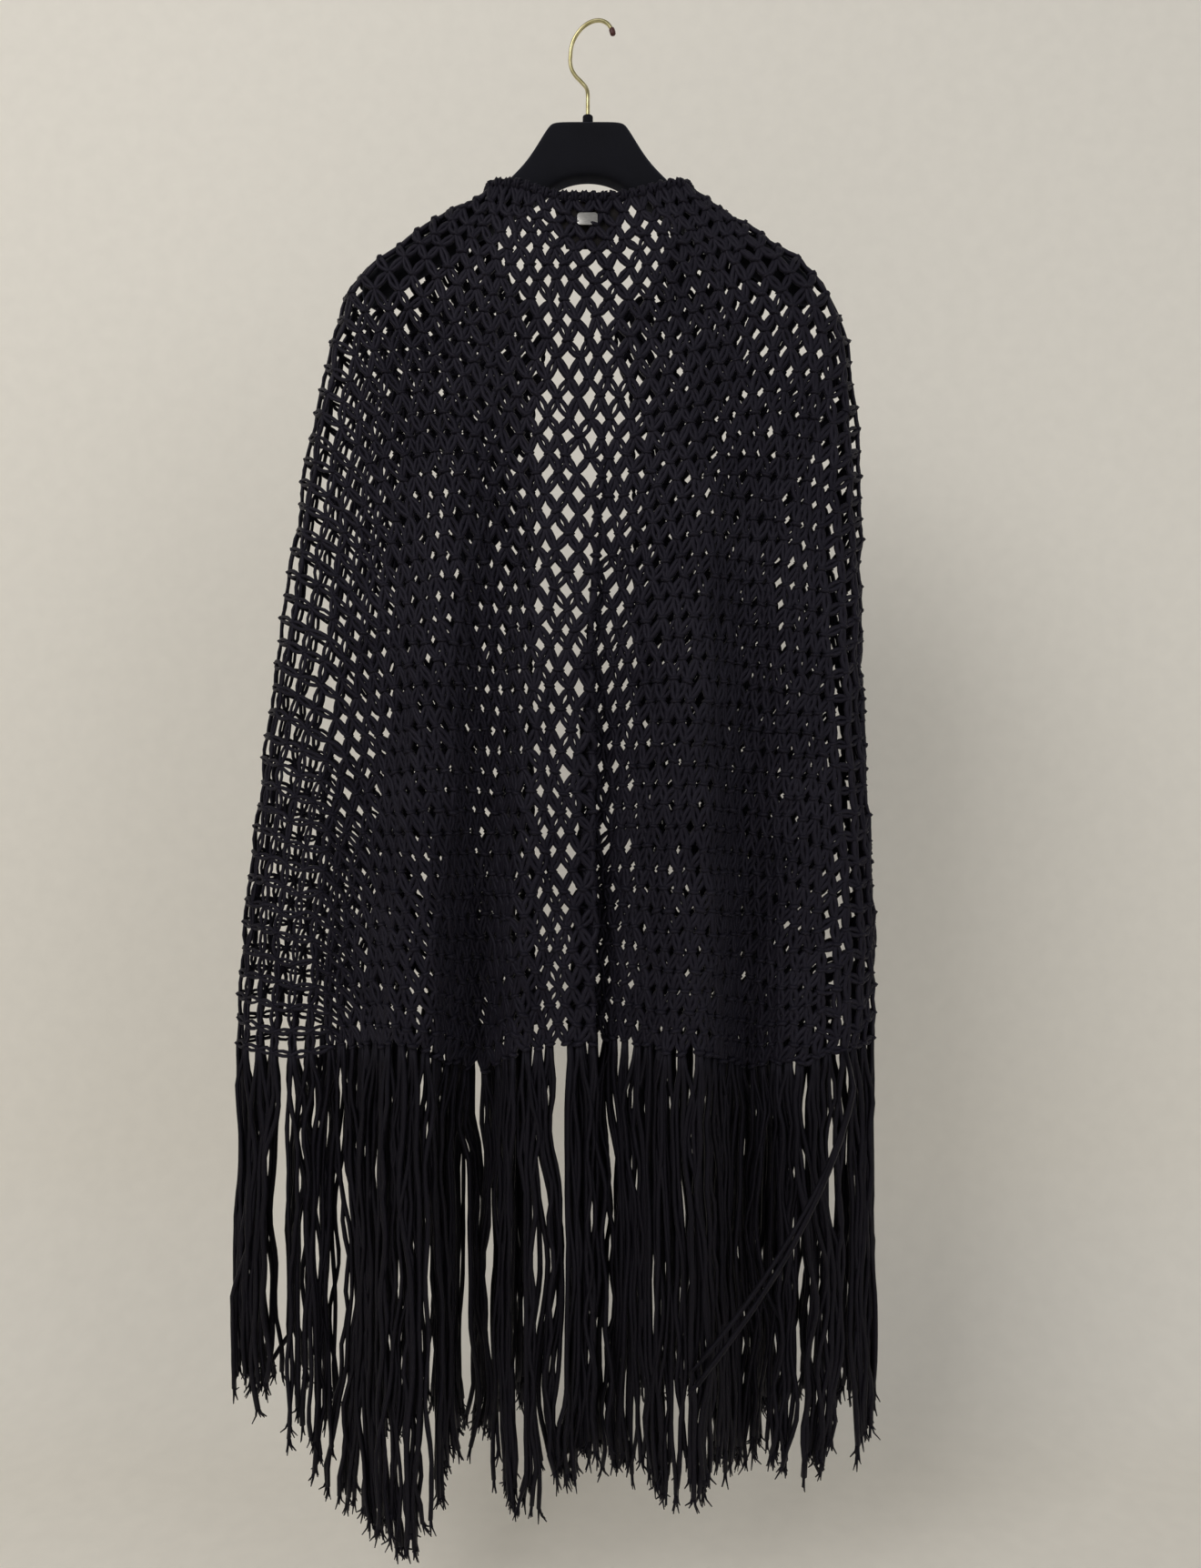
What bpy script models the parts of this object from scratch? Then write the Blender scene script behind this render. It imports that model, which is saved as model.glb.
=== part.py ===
"""Knotted silk cape with a long fringe, hanging on a padded-arm hanger with a wire hook.

Metres, +Z up. The front of the cape faces -Y and +X is on the right seen from the front.
The origin is the seat inside the top of the hook, where a rod carries the hanger.
"""

import math
from collections import namedtuple

import bmesh
import bpy
import numpy as np
from mathutils import Vector

GAP = 0.0003
CLOTH = 0.003

# Plan of the hanging cape by height: the two sides, half the depth where the cloth lies flat,
# and how square the plan is (1 is a lens, 6 is nearly a box with round ends).
Level = namedtuple("Level", "z left right depth square")
LEVELS = [
    Level(-0.170, -0.0990, 0.1010, 0.0220, 5.0),
    Level(-0.182, -0.1125, 0.1160, 0.0235, 5.0),
    Level(-0.201, -0.1490, 0.1425, 0.0260, 5.0),
    Level(-0.222, -0.1800, 0.1790, 0.0290, 5.0),
    Level(-0.240, -0.2055, 0.2095, 0.0315, 5.0),
    Level(-0.255, -0.2245, 0.2255, 0.0330, 5.0),
    Level(-0.272, -0.2385, 0.2395, 0.0345, 5.0),
    Level(-0.297, -0.2490, 0.2510, 0.0350, 4.8),
    Level(-0.323, -0.2570, 0.2590, 0.0350, 4.5),
    Level(-0.400, -0.2745, 0.2690, 0.0350, 4.0),
    Level(-0.500, -0.2905, 0.2735, 0.0360, 3.5),
    Level(-0.620, -0.3085, 0.2735, 0.0380, 3.0),
    Level(-0.760, -0.3260, 0.2785, 0.0400, 3.0),
    Level(-0.900, -0.3430, 0.2850, 0.0420, 3.0),
    Level(-1.040, -0.3520, 0.2840, 0.0440, 3.0),
]

# The two front edges by height: a V that closes at the breast, then two hanging edges.
Opening = namedtuple("Opening", "z left right")
OPENINGS = [
    Opening(-0.170, -0.0940, 0.0930),
    Opening(-0.195, -0.0975, 0.0955),
    Opening(-0.220, -0.0970, 0.0925),
    Opening(-0.250, -0.0850, 0.0760),
    Opening(-0.275, -0.0680, 0.0500),
    Opening(-0.297, -0.0500, 0.0335),
    Opening(-0.320, -0.0495, 0.0335),
    Opening(-0.350, -0.0540, 0.0450),
    Opening(-0.390, -0.0640, 0.0490),
    Opening(-0.500, -0.0640, 0.0510),
    Opening(-0.620, -0.0630, 0.0550),
    Opening(-1.040, -0.0590, 0.0580),
]

# Fold lines, in order round the cape from the left front edge past the back to the right one.
# share_top and share_hem: place across the panel, from 0 at a front edge to 1 at the side, and
# on the back from 0 at the left side to 1 at the right. y_hem: depth of the line at the hem.
# start: height where the fold begins to leave the flat cloth. hem: height of its last knots.
Fold = namedtuple("Fold", "panel share_top share_hem y_hem start hem")
FOLDS = [
    Fold("left", 0.00, 0.000, 0.060, -0.30, -1.020),
    Fold("left", 0.06, 0.040, 0.076, -0.34, -1.020),
    Fold("left", 0.12, 0.095, 0.044, -0.36, -1.030),
    Fold("left", 0.20, 0.175, 0.010, -0.40, -1.052),
    Fold("left", 0.28, 0.260, 0.042, -0.36, -1.036),
    Fold("left", 0.36, 0.325, 0.082, -0.32, -1.014),
    Fold("left", 0.46, 0.425, 0.084, -0.32, -1.010),
    Fold("left", 0.56, 0.490, 0.060, -0.34, -1.014),
    Fold("left", 0.62, 0.485, 0.038, -0.34, -1.018),
    Fold("left", 0.70, 0.590, 0.030, -0.36, -1.023),
    Fold("left", 0.84, 0.790, 0.036, -0.40, -1.030),
    Fold("left", 0.95, 0.935, 0.026, -0.40, -1.028),
    Fold("side", 0.00, 0.000, -0.004, -0.40, -1.026),
    Fold("back", 0.03, 0.030, -0.028, -0.40, -1.026),
    Fold("back", 0.10, 0.100, -0.038, -0.40, -1.030),
    Fold("back", 0.18, 0.182, -0.030, -0.36, -1.024),
    Fold("back", 0.23, 0.235, -0.060, -0.34, -1.014),
    Fold("back", 0.27, 0.268, -0.084, -0.32, -1.010),
    Fold("back", 0.31, 0.311, -0.082, -0.32, -1.014),
    Fold("back", 0.35, 0.347, -0.042, -0.36, -1.036),
    Fold("back", 0.39, 0.388, -0.018, -0.40, -1.052),
    Fold("back", 0.45, 0.452, -0.076, -0.34, -1.018),
    Fold("back", 0.48, 0.492, -0.064, -0.34, -1.014),
    Fold("back", 0.52, 0.560, -0.060, -0.34, -1.014),
    Fold("back", 0.54, 0.525, -0.042, -0.36, -1.014),
    Fold("back", 0.56, 0.560, -0.024, -0.36, -1.014),
    Fold("back", 0.60, 0.607, -0.046, -0.34, -1.014),
    Fold("back", 0.64, 0.646, -0.066, -0.32, -1.016),
    Fold("back", 0.68, 0.682, -0.082, -0.32, -1.016),
    Fold("back", 0.72, 0.724, -0.082, -0.32, -1.018),
    Fold("back", 0.76, 0.764, -0.046, -0.36, -1.034),
    Fold("back", 0.80, 0.800, -0.018, -0.40, -1.046),
    Fold("back", 0.86, 0.862, -0.050, -0.38, -1.032),
    Fold("back", 0.92, 0.922, -0.048, -0.40, -1.026),
    Fold("back", 0.97, 0.970, -0.034, -0.40, -1.024),
    Fold("side", 1.00, 1.000, -0.004, -0.40, -1.020),
    Fold("right", 0.92, 0.930, 0.030, -0.40, -1.022),
    Fold("right", 0.78, 0.775, 0.056, -0.38, -1.024),
    Fold("right", 0.64, 0.620, 0.070, -0.34, -1.026),
    Fold("right", 0.54, 0.535, 0.044, -0.36, -1.036),
    Fold("right", 0.45, 0.455, 0.010, -0.40, -1.046),
    Fold("right", 0.34, 0.335, 0.052, -0.36, -1.030),
    Fold("right", 0.22, 0.210, 0.084, -0.32, -1.016),
    Fold("right", 0.10, 0.090, 0.080, -0.32, -1.016),
    Fold("right", 0.00, 0.000, 0.058, -0.30, -1.020),
]
LEFT_SIDE = 12
RIGHT_SIDE = 35
LAST_FOLD = len(FOLDS) - 1

# The net in the stretches that hang apart, each from one fold line to another.
Stretch = namedtuple("Stretch", "node first last")
STRETCHES = [
    Stretch("net_front_left", 0, 6),
    Stretch("net_side_left", 6, LEFT_SIDE),
    Stretch("net_back_left", LEFT_SIDE, 20),
    Stretch("net_back_middle", 20, 28),
    Stretch("net_back_right", 28, RIGHT_SIDE),
    Stretch("net_side_right", RIGHT_SIDE, 40),
    Stretch("net_front_right", 40, LAST_FOLD),
]
SHOULDER_Z = -0.27
HEM_Z = -1.03
NECK_Z = -0.174
NECK_FRONT_Z = -0.1775
NECK_SAG = 0.0175
NECK_SAG_SPREAD = 9.2
FOLD_GROWTH = 0.8
BELOW_HEM = 1.05

# The wall's grid, and the small steps over which its directions are measured, in folds across
# and in shares of the height down.
NET_ROWS = 20
ROW_CROWDING = 1.5
COLUMNS_PER_FOLD = 2
NORMAL_STEP = 0.02
SEAM_STEP = 0.05
RIM_STEP = 0.012
EDGE_STEP = 0.1

# Cord radii. The edge cords begin one row of points below the neck cord.
NECK_CORD = 0.0042
NECK_CORD_STEPS = 64
EDGE_CORD = 0.0026
EDGE_CORD_TOP = 1

# Fringe: strand ends by place along X, for the front layers and the back layer.
StrandEnd = namedtuple("StrandEnd", "x front back")
STRAND_ENDS = [
    StrandEnd(-0.352, -1.370, -1.375),
    StrandEnd(-0.290, -1.385, -1.395),
    StrandEnd(-0.240, -1.395, -1.440),
    StrandEnd(-0.215, -1.400, -1.480),
    StrandEnd(-0.165, -1.410, -1.500),
    StrandEnd(-0.135, -1.420, -1.480),
    StrandEnd(-0.112, -1.425, -1.425),
    StrandEnd(-0.060, -1.435, -1.430),
    StrandEnd(0.000, -1.435, -1.435),
    StrandEnd(0.030, -1.430, -1.430),
    StrandEnd(0.060, -1.435, -1.445),
    StrandEnd(0.120, -1.440, -1.455),
    StrandEnd(0.200, -1.440, -1.455),
    StrandEnd(0.250, -1.425, -1.440),
    StrandEnd(0.290, -1.390, -1.395),
]
STRIP_HEIGHT = 0.005
STRIP_CLEARANCE = 0.0006
STRAND_PITCH = 0.0102
STRAND_SHARE = 0.42
STRAND_PARTS = 2
STRAND_UNEVEN = 0.010
STRAND_PHASE = 12.9898

# The hook: its wire and round top, and the bend under it by the way in towards the middle and
# the way down from the side of the round top.
HOOK_WIRE = 0.002
HOOK_RADIUS = 0.025
HOOK_TURN = math.radians(30)
HOOK_CENTRE_X = 0.004
HOOK_TIP = math.radians(24)
HOOK_STEPS = 16
Bend = namedtuple("Bend", "inward down")
HOOK_BEND = [
    Bend(-0.0005, 0.0070),
    Bend(0.0010, 0.0150),
    Bend(0.0055, 0.0235),
    Bend(0.0125, 0.0320),
    Bend(0.0185, 0.0400),
]
SHANK_TOP = -0.0720
SHANK_MIDDLE = -0.0800
TIP_RADIUS = 0.0029
TIP_LENGTH = 0.007
TIP_STEPS = 3
COLLAR_RADIUS = 0.0052
COLLAR_TOP = -0.0935
BLOCK_TOP = -0.1030

LABEL_TOP = -0.1950
LABEL_BOTTOM = -0.2400
LABEL_HALF_TOP = 0.0350
LABEL_HALF_BOTTOM = 0.0210
LABEL_THICK = 0.0015
LABEL_CLEARANCE = 0.0006
PLATE_WIDTH = 0.0200
PLATE_HEIGHT = 0.0130
PLATE_THICK = 0.0012
PLATE_CORNER = 0.0030
PLATE_Z = -0.2120

# Half of the hanger, from the middle out: the lower edge is an arch. Where top is None the arm
# follows the shoulder line of the cloth that lies on it.
Station = namedtuple("Station", "x top bottom half square")
HANGER = [
    Station(0.0000, BLOCK_TOP, -0.1580, 0.0135, 5.0),
    Station(0.0130, BLOCK_TOP, -0.1592, 0.0135, 5.0),
    Station(0.0255, BLOCK_TOP, -0.1632, 0.0137, 5.0),
    Station(0.0350, -0.1035, -0.1690, 0.0139, 4.5),
    Station(0.0400, -0.1075, -0.1740, 0.0140, 4.0),
    Station(0.0548, -0.1330, -0.1840, 0.0144, 3.5),
    Station(0.0667, -0.1480, -0.1920, 0.0148, 3.0),
    Station(0.0840, -0.1645, -0.2030, 0.0155, 2.7),
    Station(0.0980, -0.1790, -0.2110, 0.0162, 2.5),
    Station(0.1200, None, -0.2240, 0.0175, 2.4),
    Station(0.1500, None, -0.2430, 0.0195, 2.4),
    Station(0.1800, None, -0.2610, 0.0215, 2.4),
    Station(0.2020, None, -0.2750, 0.0220, 2.4),
    Station(0.2140, None, -0.2820, 0.0205, 2.2),
    Station(0.2220, -0.2599, -0.2840, 0.0170, 2.1),
    Station(0.2265, -0.2670, -0.2810, 0.0095, 2.0),
]
ARM_CLEARANCE = 0.0041
HANGER_SIDES = 16
SHOULDER_STEPS = 40


def material(name, colour, roughness, metallic=0.0):
    m = bpy.data.materials.new(name)
    m.use_nodes = True
    shader = m.node_tree.nodes["Principled BSDF"]
    shader.inputs["Base Color"].default_value = (*colour, 1.0)
    shader.inputs["Roughness"].default_value = roughness
    shader.inputs["Metallic"].default_value = metallic
    return m


def finish(name, bm, look, smooth_angle=math.radians(40)):
    """Turns a bmesh into a named object with its material, smooth but for its sharp edges."""
    bmesh.ops.recalc_face_normals(bm, faces=bm.faces)
    mesh = bpy.data.meshes.new(name)
    bm.to_mesh(mesh)
    bm.free()
    mesh.shade_smooth()
    mesh.set_sharp_from_angle(angle=smooth_angle)
    mesh.materials.append(look)
    o = bpy.data.objects.new(name, mesh)
    bpy.context.collection.objects.link(o)
    return o


def through(rows, column, z):
    """A smooth value of one column of a table by height, on rows that go down."""
    heights = [-row.z for row in rows]
    values = [getattr(row, column) for row in rows]
    at = min(max(-z, heights[0]), heights[-1])
    i = min(max(int(np.searchsorted(heights, at)) - 1, 0), len(rows) - 2)
    span = heights[i + 1] - heights[i]
    t = (at - heights[i]) / span

    def slope(k):
        a, b = max(k - 1, 0), min(k + 1, len(rows) - 1)
        return (values[b] - values[a]) / (heights[b] - heights[a]) * span

    h = (1 - t) ** 2 * (1 + 2 * t), t * (1 - t) ** 2, t * t * (3 - 2 * t), t * t * (t - 1)
    return h[0] * values[i] + h[1] * slope(i) + h[2] * values[i + 1] + h[3] * slope(i + 1)


def ease(t):
    t = min(max(t, 0.0), 1.0)
    return t * t * (3 - 2 * t)


def fold_point(fold, z):
    """Where a fold line crosses the level z, in plan."""
    left, right = through(LEVELS, "left", z), through(LEVELS, "right", z)
    depth, square = through(LEVELS, "depth", z), through(LEVELS, "square", z)
    down = min(max((SHOULDER_Z - z) / (SHOULDER_Z - HEM_Z), 0.0), BELOW_HEM)
    share = fold.share_top + (fold.share_hem - fold.share_top) * ease(down)
    if fold.panel in ("back", "side"):
        x = left + (right - left) * share
        out = abs(2 * fold.share_top - 1)
        flat = -depth * (1 - out**square) ** (1 / square)
    else:
        edge = through(OPENINGS, fold.panel, z)
        side = left if fold.panel == "left" else right
        x = edge + (side - edge) * share
        flat = depth * (1 - fold.share_top**square) ** (1 / square)
    grown = min(max((fold.start - z) / (fold.start - HEM_Z), 0.0), BELOW_HEM) ** FOLD_GROWTH
    return Vector((x, flat + (fold.y_hem - flat) * grown, z))


def cloth_point(around, down):
    """A point in the middle of the cloth: around counts fold lines, down goes from neck to hem."""
    i = min(int(around), LAST_FOLD - 1)
    t = around - i
    hem = FOLDS[i].hem + (FOLDS[i + 1].hem - FOLDS[i].hem) * ease(t)
    front = max(1 - around / LEFT_SIDE, (around - RIGHT_SIDE) / (LAST_FOLD - RIGHT_SIDE))
    from_side = min(around - LEFT_SIDE, RIGHT_SIDE - around)
    top = NECK_Z + (NECK_FRONT_Z - NECK_Z) * ease(front) - NECK_SAG * ease(from_side / NECK_SAG_SPREAD)
    z = top + (hem - top) * down
    a, b, c, d = (fold_point(FOLDS[min(max(k, 0), LAST_FOLD)], z) for k in range(i - 1, i + 3))
    if i == 0:
        a = b * 2 - c
    if i == LAST_FOLD - 1:
        d = c * 2 - b
    steps = [max(math.sqrt((q - p).length), 1e-4) for p, q in ((a, b), (b, c), (c, d))]
    first = (b - a) / steps[0] - (c - a) / (steps[0] + steps[1]) + (c - b) / steps[1]
    last = (c - b) / steps[1] - (d - b) / (steps[1] + steps[2]) + (d - c) / steps[2]
    first, last = first * steps[1], last * steps[1]
    h = (1 - t) ** 2 * (1 + 2 * t), t * (1 - t) ** 2, t * t * (3 - 2 * t), t * t * (t - 1)
    point = b * h[0] + first * h[1] + c * h[2] + last * h[3]
    point.z = z
    return point


def cloth_normal(around, down):
    """The direction out of the cape at a point of the cloth."""
    before, after = max(around - NORMAL_STEP, 0), min(around + NORMAL_STEP, LAST_FOLD)
    high, low = max(down - NORMAL_STEP, 0.0), min(down + NORMAL_STEP, 1.0)
    across = cloth_point(after, down) - cloth_point(before, down)
    up = cloth_point(around, high) - cloth_point(around, low)
    out = across.cross(up)
    if math.isclose(down, 1.0):
        out.z = 0.0
    return out.normalized()


def wall_point(around, down, out, seam=0):
    """A point of the wall: out is -1 inside and 1 outside, seam pulls an edge column back."""
    point = cloth_point(around, down) + cloth_normal(around, down) * (out * CLOTH / 2)
    if seam:
        along = cloth_point(around + seam * SEAM_STEP, down) - cloth_point(around, down)
        point += along.normalized() * (GAP / 2)
    return point


def row_down(row):
    """How far down the cloth a row of the wall's points lies; the rows are closer near the neck."""
    return (row / NET_ROWS) ** ROW_CROWDING


def net_panel(name, first, last, look):
    """A stretch of the net as a closed wall, between two fold lines."""
    columns = (last - first) * COLUMNS_PER_FOLD
    bm = bmesh.new()
    bmesh.ops.create_grid(bm, x_segments=columns, y_segments=NET_ROWS, size=1.0)
    inner = bmesh.ops.extrude_face_region(bm, geom=bm.faces[:], use_keep_orig=True)
    for v in inner["geom"]:
        if isinstance(v, bmesh.types.BMVert):
            v.co.z = -2.0
    for v in bm.verts:
        around = first + (v.co.x + 1) / 2 * (last - first)
        down = row_down((1 - v.co.y) / 2 * NET_ROWS)
        seam = (v.co.x < -0.9999) - (v.co.x > 0.9999)
        v.co = wall_point(around, down, v.co.z + 1, seam)
    return finish(name, bm, look, math.radians(60))


def cord(name, points, radius, look, resolution=1):
    """A round cord through points, with closed ends."""
    curve = bpy.data.curves.new(name, "CURVE")
    curve.dimensions = "3D"
    curve.bevel_depth = radius
    curve.bevel_resolution = resolution
    curve.use_fill_caps = True
    spline = curve.splines.new("POLY")
    spline.points.add(len(points) - 1)
    for target, point in zip(spline.points, points):
        target.co = (*point, 1.0)
    curve.materials.append(look)
    o = bpy.data.objects.new(name, curve)
    bpy.context.collection.objects.link(o)
    return o


def beside_rim(rim, inside, clear):
    """Points beside a rim of the cloth, square to it and away from the cloth."""
    points = []
    for k, here in enumerate(rim):
        along = (rim[min(k + 1, len(rim) - 1)] - rim[max(k - 1, 0)]).normalized()
        away = here - inside[k]
        away -= along * away.dot(along)
        points.append(here + away.normalized() * clear)
    return points


def lengths_along(points):
    lengths = [0.0]
    for a, b in zip(points, points[1:]):
        lengths.append(lengths[-1] + (b - a).length)
    return lengths


def along_line(at, lengths, vectors):
    return Vector([float(np.interp(at, lengths, [v[i] for v in vectors])) for i in range(3)])


def spaced(points, count):
    """The same line again with its points evenly spaced."""
    lengths = lengths_along(points)
    return [along_line(lengths[-1] * k / count, lengths, points) for k in range(count + 1)]


def neck_cord(look):
    """The thick rolled cord along the top edge, from one front edge round the back to the other."""
    places = [LAST_FOLD * k / (4 * NECK_CORD_STEPS) for k in range(4 * NECK_CORD_STEPS + 1)]
    rim = [cloth_point(p, 0.0) for p in places]
    inside = [cloth_point(p, RIM_STEP) for p in places]
    points = beside_rim(rim, inside, NECK_CORD + CLOTH / 6 + GAP)
    return cord("neck_cord", spaced(points, NECK_CORD_STEPS), NECK_CORD, look)


def edge_cord(name, edge, towards, look):
    """The cord down one front edge of the net."""
    downs = [row_down(k) for k in range(EDGE_CORD_TOP, NET_ROWS + 1)]
    rim = [cloth_point(edge, down) for down in downs]
    inside = [cloth_point(edge + towards * EDGE_STEP, down) for down in downs]
    points = beside_rim(rim, inside, EDGE_CORD + CLOTH / 6 + GAP)
    return cord(name, points, EDGE_CORD, look, 0)


def hem_line(first, last):
    """The wall's lower edge between two fold lines: lengths along it, points, and directions out."""
    columns = (last - first) * COLUMNS_PER_FOLD
    places = [first + k / COLUMNS_PER_FOLD for k in range(columns + 1)]
    points = [cloth_point(p, 1.0) for p in places]
    return lengths_along(points), points, [cloth_normal(p, 1.0) for p in places]


def fringe(name, first, last, layer, look):
    """Strands that hang from a narrow strip under the hem, with gaps between them."""
    lengths, points, outs = hem_line(first, last)
    count = int(lengths[-1] // STRAND_PITCH)
    pitch = lengths[-1] / count
    cuts = [GAP / 2]
    for k in range(count):
        cuts += [(k + 0.5 - STRAND_SHARE / 2) * pitch, (k + 0.5 + STRAND_SHARE / 2) * pitch]
    cuts.append(lengths[-1] - GAP / 2)
    columns = len(cuts) - 1
    bm = bmesh.new()
    bmesh.ops.create_grid(bm, x_segments=columns, y_segments=1, size=1.0)
    for v in bm.verts:
        at = cuts[round((v.co.x + 1) / 2 * columns)]
        out = along_line(at, lengths, outs).normalized()
        v.co = along_line(at, lengths, points) + out * (v.co.y * CLOTH / 2)
        beside = [along_line(at + step, lengths, points).z for step in (-CLOTH, CLOTH)]
        v.co.z = min(v.co.z, *beside) - STRIP_CLEARANCE - STRIP_HEIGHT
    bm.faces.ensure_lookup_table()
    roots = [f for i, f in enumerate(bm.faces) if i % 2]
    top = bmesh.ops.extrude_face_region(bm, geom=bm.faces[:], use_keep_orig=True)
    bmesh.ops.translate(
        bm,
        vec=(0.0, 0.0, STRIP_HEIGHT),
        verts=[v for v in top["geom"] if isinstance(v, bmesh.types.BMVert)],
    )
    for k, root in enumerate(roots):
        strand(bm, root, k, layer)
    return finish(name, bm, look)


def strand(bm, root, index, layer):
    """Draws one strand down from a face of the strip."""
    x = root.calc_center_median().x
    ends = [getattr(row, layer) for row in STRAND_ENDS]
    end = float(np.interp(x, [row.x for row in STRAND_ENDS], ends))
    end += STRAND_UNEVEN * math.sin(index * STRAND_PHASE)
    face = root
    for part in range(STRAND_PARTS):
        face = bmesh.ops.extrude_discrete_faces(bm, faces=[face])["faces"][0]
        level = face.calc_center_median().z
        drop = (end - level) / (STRAND_PARTS - part)
        bmesh.ops.translate(bm, vec=(0.0, 0.0, drop), verts=face.verts)
        if part:
            for v in face.verts:
                v.co.z = level + drop


def label_patch(look):
    """The dark trapezoid on the inner side of the net, under the back of the neck."""
    bm = bmesh.new()
    bmesh.ops.create_grid(bm, x_segments=6, y_segments=4, size=1.0)
    inner = bmesh.ops.extrude_face_region(bm, geom=bm.faces[:], use_keep_orig=True)
    for v in inner["geom"]:
        if isinstance(v, bmesh.types.BMVert):
            v.co.z = -1.0
    for v in bm.verts:
        low = (1 - v.co.y) / 2
        z = LABEL_TOP + (LABEL_BOTTOM - LABEL_TOP) * low
        half = LABEL_HALF_TOP + (LABEL_HALF_BOTTOM - LABEL_HALF_TOP) * low
        inner_face = CLOTH / 2 + LABEL_CLEARANCE - through(LEVELS, "depth", z)
        v.co = Vector((v.co.x * half, inner_face - v.co.z * LABEL_THICK, z))
    return finish("label_patch", bm, look)


def name_plate(look):
    """A plain metal plate on the outer side of the net, over the patch."""
    bm = bmesh.new()
    bmesh.ops.create_cube(bm, size=1.0)
    bmesh.ops.scale(bm, vec=(PLATE_WIDTH, PLATE_THICK, PLATE_HEIGHT), verts=bm.verts)
    corners = [e for e in bm.edges if abs(e.verts[0].co.y - e.verts[1].co.y) > PLATE_THICK / 2]
    bmesh.ops.bevel(
        bm, geom=corners, offset=PLATE_CORNER, offset_type="OFFSET", segments=4, profile=0.5, affect="EDGES"
    )
    o = finish("name_plate", bm, look)
    outer_face = -through(LEVELS, "depth", PLATE_Z) - CLOTH / 2
    low, high = PLATE_Z - PLATE_HEIGHT / 2, PLATE_Z + PLATE_HEIGHT / 2
    slope = (through(LEVELS, "depth", low) - through(LEVELS, "depth", high)) / PLATE_HEIGHT
    o.location = (0.0, outer_face - GAP * 2 - PLATE_THICK / 2, PLATE_Z)
    o.rotation_euler = (-math.atan(slope), 0.0, 0.0)
    return o


def shoulder_line(x):
    """Height of the cloth over the shoulder at a distance from the middle, the lower of both sides."""
    fall = (SHOULDER_Z - NECK_Z) / SHOULDER_STEPS
    heights = [NECK_Z + fall * k for k in range(SHOULDER_STEPS + 1)]
    left = [-through(LEVELS, "left", z) for z in heights]
    right = [through(LEVELS, "right", z) for z in heights]
    return min(float(np.interp(x, left, heights)), float(np.interp(x, right, heights)))


def hanger_body(look):
    """A flat-topped neck block and two arms that widen towards the shoulders."""
    stations = []
    for row in HANGER:
        top = row.top if row.top is not None else shoulder_line(row.x) - ARM_CLEARANCE
        stations.append((row.x, top, row.bottom, row.half, row.square))
    stations = [(-x, *rest) for x, *rest in reversed(stations[1:])] + stations
    bm = bmesh.new()
    rings = []
    for x, top, bottom, half, square in stations:
        ring = []
        for k in range(HANGER_SIDES):
            turn = 2 * math.pi * (k + 0.5) / HANGER_SIDES
            c, s = math.cos(turn), math.sin(turn)
            across = math.copysign(abs(c) ** (2 / square), c)
            up = math.copysign(abs(s) ** (2 / square), s)
            middle, tall = (top + bottom) / 2, (top - bottom) / 2
            ring.append(bm.verts.new((x, half * across, middle + tall * up)))
        rings.append(ring)
    for a, b in zip(rings, rings[1:]):
        for k in range(HANGER_SIDES):
            n = (k + 1) % HANGER_SIDES
            bm.faces.new((a[k], a[n], b[n], b[k]))
    bm.faces.new(rings[0])
    bm.faces.new(rings[-1])
    return finish("hanger_body", bm, look)


def hook_arc(angle):
    """A point of the hook's round top; the open end points to -Y."""
    out = HOOK_RADIUS * math.cos(angle)
    z = HOOK_WIRE - HOOK_RADIUS + HOOK_RADIUS * math.sin(angle)
    return Vector((HOOK_CENTRE_X + out * math.cos(HOOK_TURN), -out * math.sin(HOOK_TURN), z))


def hook_wire(look):
    """The round top, a bend back under it, and a straight shank down to the collar."""
    turn = (math.pi - HOOK_TIP) / HOOK_STEPS
    points = [hook_arc(HOOK_TIP + turn * k) for k in range(HOOK_STEPS + 1)]
    side = points[-1]
    inward = Vector((math.cos(HOOK_TURN), -math.sin(HOOK_TURN), 0.0))
    points += [side + inward * bend.inward + Vector((0.0, 0.0, -bend.down)) for bend in HOOK_BEND]
    points += [Vector((0.0, 0.0, z)) for z in (SHANK_TOP, SHANK_MIDDLE, COLLAR_TOP + GAP)]
    return cord("hook_wire", points, HOOK_WIRE, look, 2)


def hook_tip(look):
    """The soft cap beyond the wire's end."""
    turn = TIP_LENGTH / HOOK_RADIUS
    start = HOOK_TIP - GAP / HOOK_RADIUS
    points = [hook_arc(start - turn * k / TIP_STEPS) for k in range(TIP_STEPS + 1)]
    return cord("hook_tip", points, TIP_RADIUS, look, 2)


def collar(look):
    """The short ring that the shank goes into."""
    bm = bmesh.new()
    height = COLLAR_TOP - BLOCK_TOP - GAP
    bmesh.ops.create_cone(
        bm, cap_ends=True, segments=16, radius1=COLLAR_RADIUS, radius2=COLLAR_RADIUS, depth=height
    )
    o = finish("hook_collar", bm, look)
    o.location = (0.0, 0.0, BLOCK_TOP + GAP + height / 2)
    return o


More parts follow.
